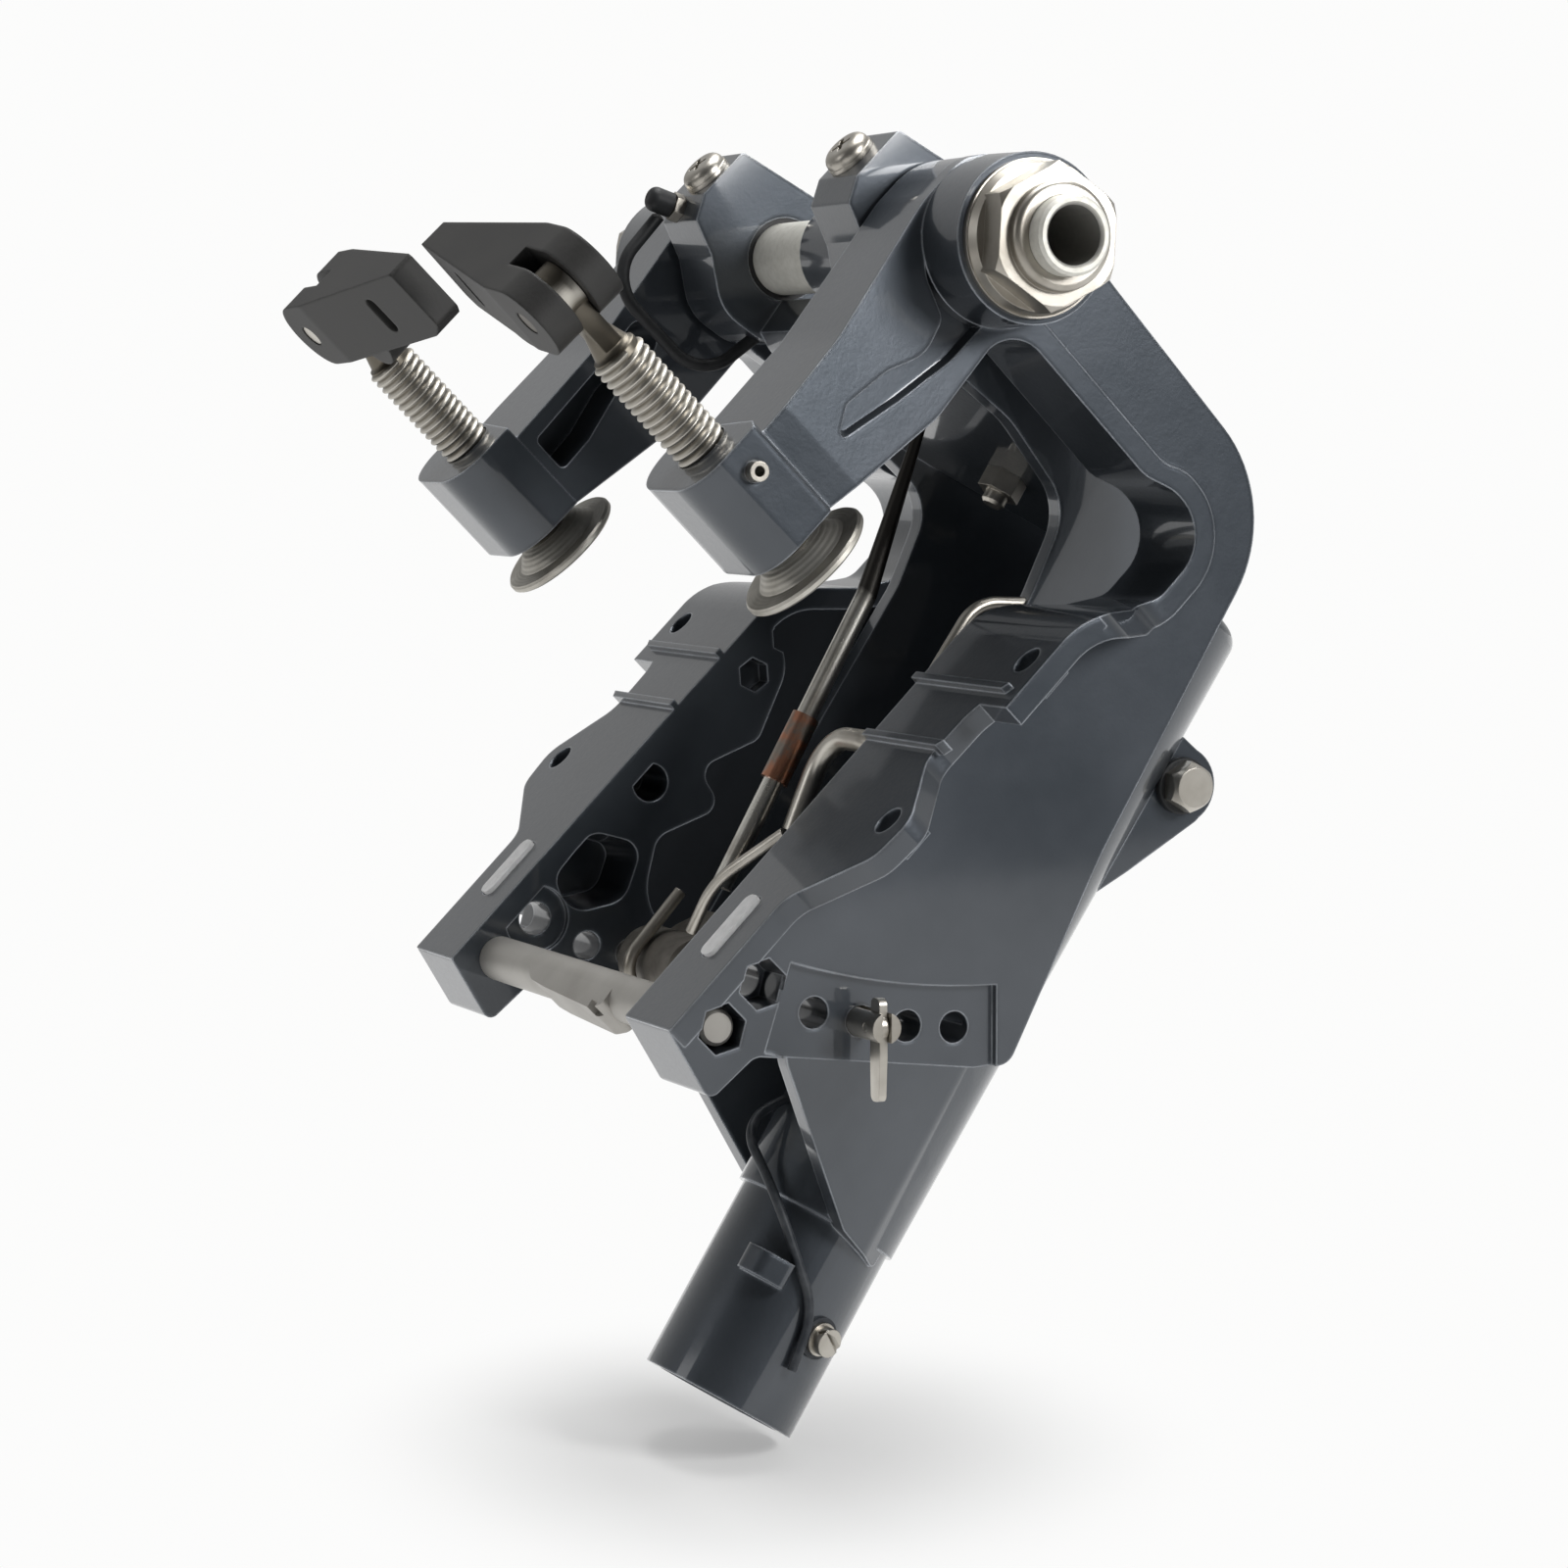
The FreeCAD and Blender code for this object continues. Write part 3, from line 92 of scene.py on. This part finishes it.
# The paper takes the shadow near the foot, and a hand's breadth away it has
# gone over into the even white of the room, with no edge between them.
PAPER_WHITE = (0.972, 0.972, 0.968, 1)
PAPER_GREY = (0.54, 0.54, 0.535, 1)
PAPER_LIFT = 0.35
SHADOW_FULL = 0.03
SHADOW_GONE = 0.15
floor_paint = bpy.data.materials.new("studio_floor")
floor_paint.use_nodes = True
tree = floor_paint.node_tree
tree.nodes.clear()
paper = tree.nodes.new("ShaderNodeBsdfDiffuse")
paper.inputs["Color"].default_value = PAPER_GREY
lift = tree.nodes.new("ShaderNodeEmission")
lift.inputs["Strength"].default_value = PAPER_LIFT
near = tree.nodes.new("ShaderNodeAddShader")
far = tree.nodes.new("ShaderNodeEmission")
far.inputs["Color"].default_value = PAPER_WHITE
spot = tree.nodes.new("ShaderNodeTexCoord")
spread = tree.nodes.new("ShaderNodeVectorMath")
spread.operation = "DISTANCE"
spread.inputs[1].default_value = foot
fade = tree.nodes.new("ShaderNodeMapRange")
fade.interpolation_type = "SMOOTHSTEP"
fade.inputs["From Min"].default_value = SHADOW_FULL
fade.inputs["From Max"].default_value = SHADOW_GONE
lit = tree.nodes.new("ShaderNodeMixShader")
clear = tree.nodes.new("ShaderNodeBsdfTransparent")
side = tree.nodes.new("ShaderNodeNewGeometry")
choice = tree.nodes.new("ShaderNodeMixShader")
output = tree.nodes.new("ShaderNodeOutputMaterial")
for start, end in (
    (paper.outputs[0], near.inputs[0]),
    (lift.outputs[0], near.inputs[1]),
    (spot.outputs["Object"], spread.inputs[0]),
    (spread.outputs["Value"], fade.inputs["Value"]),
    (fade.outputs[0], lit.inputs[0]),
    (near.outputs[0], lit.inputs[1]),
    (far.outputs[0], lit.inputs[2]),
    (side.outputs["Backfacing"], choice.inputs[0]),
    (lit.outputs[0], choice.inputs[1]),
    (clear.outputs[0], choice.inputs[2]),
    (choice.outputs[0], output.inputs["Surface"]),
):
    tree.links.new(start, end)
floor.data.materials.append(floor_paint)

# Room: plain white to the camera. To the bracket it is dim on the camera's
# side and grows brighter above and behind, as the sweep of a studio does.
ROOM_BRIGHT_WAY = VIEW_BACK * -0.80 + VIEW_UP * 0.45
ROOM_DIM, ROOM_BRIGHT = 0.05, 0.5
world = bpy.data.worlds.new("white_room")
world.use_nodes = True
bpy.context.scene.world = world
tree = world.node_tree
room = tree.nodes["Background"]
room.inputs["Color"].default_value = PAPER_WHITE
ray = tree.nodes.new("ShaderNodeLightPath")
toward = tree.nodes.new("ShaderNodeTexCoord")
behind = tree.nodes.new("ShaderNodeVectorMath")
behind.operation = "DOT_PRODUCT"
behind.inputs[1].default_value = ROOM_BRIGHT_WAY
sweep = tree.nodes.new("ShaderNodeMapRange")
sweep.interpolation_type = "SMOOTHSTEP"
sweep.inputs["From Min"].default_value = -0.35
sweep.inputs["From Max"].default_value = 0.75
sweep.inputs["To Min"].default_value = ROOM_DIM
sweep.inputs["To Max"].default_value = ROOM_BRIGHT
strength = tree.nodes.new("ShaderNodeMath")
strength.operation = "MAXIMUM"
for start, end in (
    (toward.outputs["Generated"], behind.inputs[0]),
    (behind.outputs["Value"], sweep.inputs["Value"]),
    (ray.outputs["Is Camera Ray"], strength.inputs[0]),
    (sweep.outputs[0], strength.inputs[1]),
    (strength.outputs[0], room.inputs["Strength"]),
):
    tree.links.new(start, end)

# Lamps: a wide soft box over the bracket, a weak one from the left of the
# picture and a small one from the right that picks out the steel. Each row
# is the place right of, above and before the middle, the size and the watts.
MIDDLE = Vector((0.0, 0.06, -0.12))
for name, right, up, back, size, power in (
    ("top_box", 0.22, 1.45, -0.05, 1.0, 24.0),
    ("left_box", -1.5, 0.45, 0.7, 0.6, 2.5),
    ("right_box", 0.9, 0.4, 0.75, 0.4, 9.0),
):
    light_data = bpy.data.lights.new(name, "AREA")
    light_data.size = size
    light_data.energy = power
    light = bpy.data.objects.new(name, light_data)
    away = VIEW_RIGHT * right + VIEW_UP * up + VIEW_BACK * back
    aim = away.to_track_quat("Z", "Y").to_matrix().to_4x4()
    light.matrix_world = Matrix.Translation(MIDDLE + away) @ aim
    bpy.context.scene.collection.objects.link(light)
bpy.context.scene.view_settings.view_transform = "Standard"


# Castings: two clamp brackets and the swivel, die-cast aluminium under a
# dark blue-grey enamel. The cast skin is a little uneven. The edges, outer and
# inner, are painted pale: a painted highlight along them, partly wear of the thin coat.
class Wire:
    """A shader socket that takes part in sums as a number does."""

    def __init__(self, shop, socket):
        self.shop = shop
        self.socket = socket

    def join(self, operation, *values):
        return self.shop.node("ShaderNodeMath", {"operation": operation}, values)

    def __add__(self, other):
        return self.join("ADD", self, other)

    def __radd__(self, other):
        return self.join("ADD", other, self)

    def __sub__(self, other):
        return self.join("SUBTRACT", self, other)

    def __rsub__(self, other):
        return self.join("SUBTRACT", other, self)

    def __mul__(self, other):
        return self.join("MULTIPLY", self, other)

    def __rmul__(self, other):
        return self.join("MULTIPLY", other, self)

    def __pow__(self, other):
        return self.join("POWER", self, other)

    def __abs__(self):
        return self.join("ABSOLUTE", self)

    def sine(self):
        return self.join("SINE", self)

    def clear_of(self, low, high):
        """0 below low, 1 above high."""
        return self.shop.node("ShaderNodeMapRange", {"clamp": True}, (self, low, high, 0.0, 1.0))


class Finish:
    """One material, put together node by node round its Principled shader."""

    def __init__(self, name, **flat):
        self.material = bpy.data.materials.new(name)
        self.material.use_nodes = True
        self.tree = self.material.node_tree
        self.shader = self.tree.nodes["Principled BSDF"]
        for socket, value in flat.items():
            self.shader.inputs[socket.replace("_", " ")].default_value = value

    def node(self, kind, settings=None, values=(), output=0):
        made = self.tree.nodes.new(kind)
        for key, value in (settings or {}).items():
            setattr(made, key, value)
        sockets = values.items() if isinstance(values, dict) else enumerate(values)
        for key, value in sockets:
            if isinstance(value, Wire):
                self.tree.links.new(value.socket, made.inputs[key])
            else:
                made.inputs[key].default_value = value
        return Wire(self, made.outputs[output])

    def here(self):
        return self.node("ShaderNodeTexCoord", output="Object")

    def along(self, axis):
        """This point's place along X, Y or Z."""
        return self.node("ShaderNodeSeparateXYZ", {}, (self.here(),), output=axis)

    def cloud(self, scale, detail=3.0):
        return self.node("ShaderNodeTexNoise", {}, {"Vector": self.here(), "Scale": scale,
                                                    "Detail": detail, "Roughness": 0.55})

    def blend(self, factor, first, second):
        values = {0: factor, 6: first, 7: second}
        return self.node("ShaderNodeMix", {"data_type": "RGBA"}, values, output=2)

    def rounded(self, radius, samples=4):
        return self.node("ShaderNodeBevel", {"samples": samples}, {"Radius": radius})

    def edge(self, radius):
        """0 on a flat, and more the sharper an outer or inner edge is."""
        true = self.node("ShaderNodeNewGeometry", output="Normal")
        values = (self.rounded(radius), true)
        return 1.0 - self.node("ShaderNodeVectorMath", {"operation": "DOT_PRODUCT"}, values,
                               output="Value")

    def bump(self, height, distance, strength=1.0, base=None):
        values = {"Height": height, "Distance": distance, "Strength": strength}
        if base is not None:
            values["Normal"] = base
        return self.node("ShaderNodeBump", {}, values)

    def set(self, socket, wire):
        self.tree.links.new(wire.socket, self.shader.inputs[socket])

    def coat(self, *names):
        for name in names:
            mesh = nodes[name].data if name in nodes else bpy.data.objects[name].data
            mesh.materials.clear()
            mesh.materials.append(self.material)


ENAMEL_DEEP = (0.036, 0.044, 0.054, 1)
ENAMEL_LIGHT = (0.064, 0.073, 0.086, 1)
ENAMEL_EDGE = (0.62, 0.66, 0.72, 1)
enamel = Finish("casting_enamel", Metallic=0.6, Coat_Weight=1.0, Coat_Roughness=0.06,
                Specular_IOR_Level=0.5)
patches = enamel.cloud(14.0, 4.0)
grain = enamel.cloud(900.0, 2.0)
skin = enamel.cloud(160.0)
# Pale edges: a painted highlight along outer and inner edges, partly wear, stronger in places.
wear_and_highlight_in_places = 0.5 + 0.5 * enamel.cloud(45.0).clear_of(0.38, 0.62)
edge_wear_and_highlight = enamel.edge(0.0009).clear_of(0.012, 0.11) * wear_and_highlight_in_places
colour = enamel.blend(patches.clear_of(0.35, 0.68), ENAMEL_DEEP, ENAMEL_LIGHT)
enamel.set("Base Color", enamel.blend(edge_wear_and_highlight * 0.75, colour, ENAMEL_EDGE))
enamel.set("Roughness", 0.33 + 0.14 * patches + 0.10 * (grain - 0.5))
enamel.set("Normal", enamel.bump(grain * 0.5 + skin, 0.00012, 0.6, enamel.rounded(0.0020, 6)))
enamel.coat("port_clamp_bracket", "starboard_clamp_bracket", "swivel_bracket")

# Scoop of each arm: the casting's channel has a dished bed with soft flanks,
# cast in one with the arm, that runs from the nut seat down to a point. The
# bed follows the arm's taper outboard from SCOOP_TAPER_Z down. Millimetres.
SCOOP_OUTLINE = ((-27.0, -9.0), (-20.5, -17.0), (-11.0, -23.0), (2.2, -28.0), (5.0, -40.0),
                 (-0.4, -53.0), (-4.2, -69.4), (1.4, -79.2), (6.2, -66.0), (8.6, -56.4),
                 (13.6, -34.6), (14.8, -17.8), (13.6, 0.0))
SCOOP_X = 96.9
SCOOP_TAPER_Z = -14.0
SCOOP_TAPER_LENGTH = 68.0
SCOOP_TAPER_OUT = 8.4
SCOOP_RINGS = ((0.5, 0.4), (1.0, 1.2), (1.2, 1.3), (1.2, 0.8), (1.2, 0.3))
for side, sign in (("port", 1), ("starboard", -1)):
    shape = bmesh.new()
    outline = []
    for y, z in SCOOP_OUTLINE:
        share = min(1.0, max(0.0, (SCOOP_TAPER_Z - z) / SCOOP_TAPER_LENGTH))
        x = sign * (SCOOP_X + SCOOP_TAPER_OUT * share)
        outline.append(shape.verts.new((x / 1000, y / 1000, z / 1000)))
    bed = shape.faces.new(outline)
    for inset, sink in SCOOP_RINGS:
        bmesh.ops.inset_region(shape, faces=[bed], thickness=inset / 1000, use_even_offset=True)
        bmesh.ops.translate(shape, verts=bed.verts, vec=(-sign * sink / 1000, 0, 0))
    bmesh.ops.triangulate(shape, faces=[bed])
    for turn in range(2):
        inner = [v for v in shape.verts if not v.is_boundary]
        bmesh.ops.smooth_vert(shape, verts=inner, factor=0.4,
                              use_axis_x=True, use_axis_y=True, use_axis_z=True)
    bmesh.ops.recalc_face_normals(shape, faces=shape.faces)
    if sum(face.normal.x * face.calc_area() for face in shape.faces) * sign < 0:
        bmesh.ops.reverse_faces(shape, faces=shape.faces)
    scoop = new_object(side + "_arm_scoop", shape)
    scoop.data.shade_smooth()
    soft = scoop.modifiers.new("soft_flanks", "SUBSURF")
    soft.levels = 2
    soft.render_levels = 2
    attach(scoop, "clamp_brackets")
enamel.coat("port_arm_scoop", "starboard_arm_scoop")

# Bright stainless pieces: nuts, washers, screws, rods and pins, turned or
# pressed and left with a fine satin grain, a little warm in the light.
STEEL = (0.55, 0.525, 0.475, 1)
STEEL_DULL = (0.33, 0.305, 0.265, 1)
bright = Finish("stainless_steel", Metallic=1.0)
stain = bright.cloud(45.0, 4.0)
fine = bright.cloud(1400.0, 2.0)
bright.set("Base Color", bright.blend(stain.clear_of(0.40, 0.72), STEEL, STEEL_DULL))
bright.set("Roughness", 0.24 + 0.16 * stain + 0.08 * fine)
bright.set("Normal", bright.bump(fine, 0.00003, 0.4, bright.rounded(0.0004)))
bright.coat("port_tilt_nut", "starboard_tilt_nut", "port_tilt_washer", "starboard_tilt_washer",
            "port_hub_screw", "starboard_hub_screw", "trim_rod", "trim_toggle", "toggle_pin",
            "ear_bolt", "ear_nut", "stay_nut", "release_shaft", "return_spring", "release_wire",
            "hook_wire", "grease_nipple", "terminal_screw", "port_stop_peg", "starboard_stop_peg",
            "starboard_lever_pin")


# Clamp screws: the solids leave the thread plain, so here each screw is cut
# down to the root and a rolled right-hand thread is wound round it. Its
# grooves are painted dark as painted shade, and its crests light as a painted highlight.
def from_screw_axis(finish):
    """Distance from the axis of the clamp screw on this point's own side."""
    beside = abs(finish.along("X")) - SCREW_AXIS.x
    below = finish.along("Z") - SCREW_AXIS.z
    return (beside * beside + below * below) ** 0.5


JOINTS = {joint["name"]: joint for joint in frame["record"]["behaviour"]["joints"]}
SCREW_AXIS = Vector(JOINTS["port_screw_turn"]["pos_m"])
SHANK_FROM, SHANK_TO = -0.0581, 0.0166
THREAD_FROM = -0.0568
THREAD_TURNS = 28.5
STEPS_PER_TURN = 40
PITCH = 0.0025
ROOT_R = 0.0069
CREST_R = 0.0080
THREAD_RIDGE = ((ROOT_R - 0.0002, -0.50), (CREST_R - 0.0001, -0.12), (CREST_R, 0.0),
                (CREST_R - 0.0001, 0.12), (ROOT_R - 0.0002, 0.50))
for side, sign in (("port", 1), ("starboard", -1)):
    axis = Vector((sign * SCREW_AXIS.x, 0.0, SCREW_AXIS.z))
    shape = bmesh.new()
    shape.from_mesh(nodes[side + "_clamp_screw"].data)
    bmesh.ops.remove_doubles(shape, verts=shape.verts, dist=1e-6)
    for vertex in shape.verts:
        out = Vector((vertex.co.x - axis.x, 0.0, vertex.co.z - axis.z))
        if SHANK_FROM < vertex.co.y < SHANK_TO and out.length > ROOT_R:
            vertex.co -= out * (1.0 - ROOT_R / out.length)
    ridge = []
    for radius, pitches in THREAD_RIDGE:
        ridge.append(shape.verts.new((axis.x + radius, THREAD_FROM + pitches * PITCH, axis.z)))
    crest = [shape.edges.new(pair) for pair in zip(ridge, ridge[1:])]
    bmesh.ops.spin(shape, geom=ridge + crest, cent=axis, axis=(0, 1, 0),
                   dvec=(0, PITCH / STEPS_PER_TURN, 0), angle=math.tau * THREAD_TURNS,
                   steps=round(THREAD_TURNS * STEPS_PER_TURN))
    bmesh.ops.remove_doubles(shape, verts=shape.verts, dist=5e-6)
    bmesh.ops.recalc_face_normals(shape, faces=shape.faces)
    screw = new_object(side + "_threaded_screw", shape)
    screw.data.shade_smooth()
    screw.data.set_sharp_from_angle(angle=math.radians(35))
    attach(screw, side + "_screw")
    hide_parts(side + "_clamp_screw")
THREAD_ROOT_SHADE = (0.15, 0.135, 0.11, 1)
THREAD_CREST_HIGHLIGHT = (0.62, 0.595, 0.54, 1)
thread = Finish("rolled_thread_steel", Metallic=1.0)
# Painted shade in the grooves and a painted highlight on the crests, set by distance from the axis.
crest_light = from_screw_axis(thread).clear_of(ROOT_R, CREST_R)
smear = thread.cloud(120.0, 4.0)
thread.set("Base Color", thread.blend(crest_light * (0.6 + 0.4 * smear), THREAD_ROOT_SHADE, THREAD_CREST_HIGHLIGHT))
thread.set("Roughness", 0.34 + 0.16 * smear)
thread.coat("port_threaded_screw", "starboard_threaded_screw")

# Clamp pads: pressed steel cups with the rings of the turning tool on them,
# one ring to each 1.2 mm of radius.
PAD = (0.58, 0.56, 0.51, 1)
PAD_DARK = (0.36, 0.34, 0.30, 1)
RING_RADIANS_PER_METRE = 5200.0
pads = Finish("pad_steel", Metallic=0.9)
pad_stain = pads.cloud(70.0, 4.0)
pads.set("Base Color", pads.blend(pad_stain.clear_of(0.38, 0.70), PAD, PAD_DARK))
pads.set("Roughness", 0.40 + 0.15 * pad_stain)
turned_rings = (from_screw_axis(pads) * RING_RADIANS_PER_METRE).sine()
pads.set("Normal", pads.bump(turned_rings, 0.00005, 0.5))
pads.coat("port_clamp_pad", "starboard_clamp_pad")

# The tilt tube: drawn steel tube, dull and even, its bore painted darker as
# painted shade. The tube lies along X, so its bore is what lies near that axis.
TUBE = (0.66, 0.65, 0.60, 1)
TUBE_WORN = (0.56, 0.55, 0.50, 1)
TUBE_BORE_SHADE = (0.20, 0.195, 0.185, 1)
tube = Finish("tilt_tube_steel", Metallic=0.4)
mottle = tube.cloud(500.0)
ahead = tube.along("Y")
above = tube.along("Z")
# Painted shade: the bore is painted darker.
inside = 1.0 - ((ahead * ahead + above * above) ** 0.5).clear_of(0.0084, 0.0090)
outside_colour = tube.blend(mottle.clear_of(0.35, 0.7), TUBE, TUBE_WORN)
tube.set("Base Color", tube.blend(inside * 0.8, outside_colour, TUBE_BORE_SHADE))
tube.set("Roughness", 0.42 + 0.12 * mottle)
tube.set("Normal", tube.bump(mottle, 0.00003, 0.4))
tube.coat("tilt_tube")

# The catch that hangs on the trim rod, and the port lever's pin: steel whose
# plating has gone matt and grey-brown.
DULL = (0.24, 0.225, 0.20, 1)
DULL_DARK = (0.11, 0.10, 0.09, 1)
dull = Finish("dull_plating", Metallic=0.75)
tarnish = dull.cloud(80.0, 5.0)
dull.set("Base Color", dull.blend(tarnish.clear_of(0.38, 0.70), DULL, DULL_DARK))
dull.set("Roughness", 0.44 + 0.2 * tarnish)
dull.set("Normal", dull.bump(dull.cloud(700.0), 0.00005, 0.5, dull.rounded(0.0006)))
dull.coat("lock_claw", "port_lever_pin")

# Tie rod between the feet of the clamp brackets, and the spacer saddle that
# sits on it: steel under an even grey zinc plate.
ZINC = (0.46, 0.445, 0.415, 1)
ZINC_DARK = (0.34, 0.325, 0.30, 1)
zinc = Finish("zinc_plate", Metallic=0.7)
film = zinc.cloud(35.0)
brushed = zinc.cloud(1300.0, 2.0)
zinc.set("Base Color", zinc.blend(film.clear_of(0.35, 0.72), ZINC, ZINC_DARK))
zinc.set("Roughness", 0.40 + 0.10 * film + 0.06 * brushed)
zinc.set("Normal", zinc.bump(brushed, 0.00002, 0.4))
zinc.coat("tie_rod", "tie_rod_saddle")

# Levers: glass-filled nylon, charcoal, with the fine pebbled skin of the
# mould, lighter at random, and a painted sheen: the edges painted lighter on the worn corners.
NYLON = (0.019, 0.0185, 0.018, 1)
NYLON_LIGHT = (0.034, 0.033, 0.031, 1)
nylon = Finish("lever_nylon", Specular_IOR_Level=0.4)
pebble = nylon.cloud(1100.0, 2.0)
haze = nylon.cloud(60.0, 4.0)
# Painted sheen: the edges, outer and inner, are painted lighter.
rim = nylon.edge(0.0010).clear_of(0.02, 0.2)
haze_and_edge_sheen = haze.clear_of(0.35, 0.7) * 0.7 + rim * 0.5
nylon.set("Base Color", nylon.blend(haze_and_edge_sheen, NYLON, NYLON_LIGHT))
nylon.set("Roughness", 0.50 + 0.12 * haze)
nylon.set("Normal", nylon.bump(pebble, 0.00006, 0.6, nylon.rounded(0.0012)))
nylon.coat("port_lever", "starboard_lever")

# Bushes: black nylon sleeves, moulded and pressed into the hubs and the
# steering tube, so that only their rims show.
bush = Finish("bush_nylon", Base_Color=(0.012, 0.012, 0.013, 1), Specular_IOR_Level=0.4)
bush.set("Roughness", 0.42 + 0.15 * bush.cloud(300.0))
bush.coat("port_tilt_bush", "starboard_tilt_bush", "lower_steering_bush", "upper_steering_bush")

# Rubber: the ring under the pinch bolt's head, the cap that is pushed over the
# grease nipple, and the hose that leads from it.
RUBBER = (0.010, 0.011, 0.012, 1)
RUBBER_BLOOM = (0.022, 0.023, 0.025, 1)
rubber = Finish("black_rubber", Specular_IOR_Level=0.35)
bloom = rubber.cloud(120.0, 4.0)
rubber.set("Base Color", rubber.blend(bloom.clear_of(0.4, 0.7), RUBBER, RUBBER_BLOOM))
rubber.set("Roughness", 0.46 + 0.2 * bloom)
rubber.coat("ear_ring", "nipple_cap", "nipple_hose")

# Earth lead: a wire in blue-grey insulation that has taken dust, held by the
# terminal screw on the steering tube.
LEAD = (0.020, 0.024, 0.030, 1)
LEAD_DUSTY = (0.05, 0.055, 0.062, 1)
lead = Finish("lead_insulation", Specular_IOR_Level=0.4)
grime = lead.cloud(200.0)
lead.set("Base Color", lead.blend(grime.clear_of(0.4, 0.7), LEAD, LEAD_DUSTY))
lead.set("Roughness", 0.40 + 0.2 * grime)
lead.coat("earth_lead")

# Strut of the tilt lock: bright rod up to its knee, then pressed to a spike
# that has kept the dark scale of the forge.
KNEE_FROM, KNEE_TO = -0.0710, -0.0660
STRUT = (0.80, 0.78, 0.72, 1)
STRUT_WORN = (0.50, 0.47, 0.42, 1)
FORGE_SCALE = (0.055, 0.052, 0.048, 1)
strut = Finish("lock_strut_steel", Metallic=1.0)
scale = strut.along("Z").clear_of(KNEE_FROM, KNEE_TO)
rub = strut.cloud(90.0, 4.0)
rod_colour = strut.blend(rub.clear_of(0.45, 0.70), STRUT, STRUT_WORN)
strut.set("Base Color", strut.blend(scale, rod_colour, FORGE_SCALE))
strut.set("Roughness", 0.22 + 0.14 * rub + 0.14 * scale)
strut.coat("lock_strut")

# Collar on the strut: a short copper sleeve crimped round the rod, gone dull
# and grey in patches.
COPPER = (0.52, 0.25, 0.16, 1)
COPPER_DULL = (0.30, 0.265, 0.23, 1)
copper = Finish("dull_copper", Metallic=1.0)
patina = copper.cloud(150.0, 4.0)
copper.set("Base Color", copper.blend(patina.clear_of(0.42, 0.58), COPPER, COPPER_DULL))
copper.set("Roughness", 0.26 + 0.2 * patina)
copper.coat("strut_sleeve")

# Wear strips: round-ended pads of pale grey plastic, let into the flanges and
# scuffed by the transom.
STRIP = (0.80, 0.80, 0.80, 1)
STRIP_SCUFFED = (0.68, 0.68, 0.68, 1)
strip = Finish("wear_strip", Specular_IOR_Level=0.4)
scuff = strip.cloud(350.0, 4.0)
strip.set("Base Color", strip.blend(scuff.clear_of(0.35, 0.7), STRIP, STRIP_SCUFFED))
strip.set("Roughness", 0.5 + 0.2 * scuff)
strip.coat("port_wear_strip", "starboard_wear_strip")
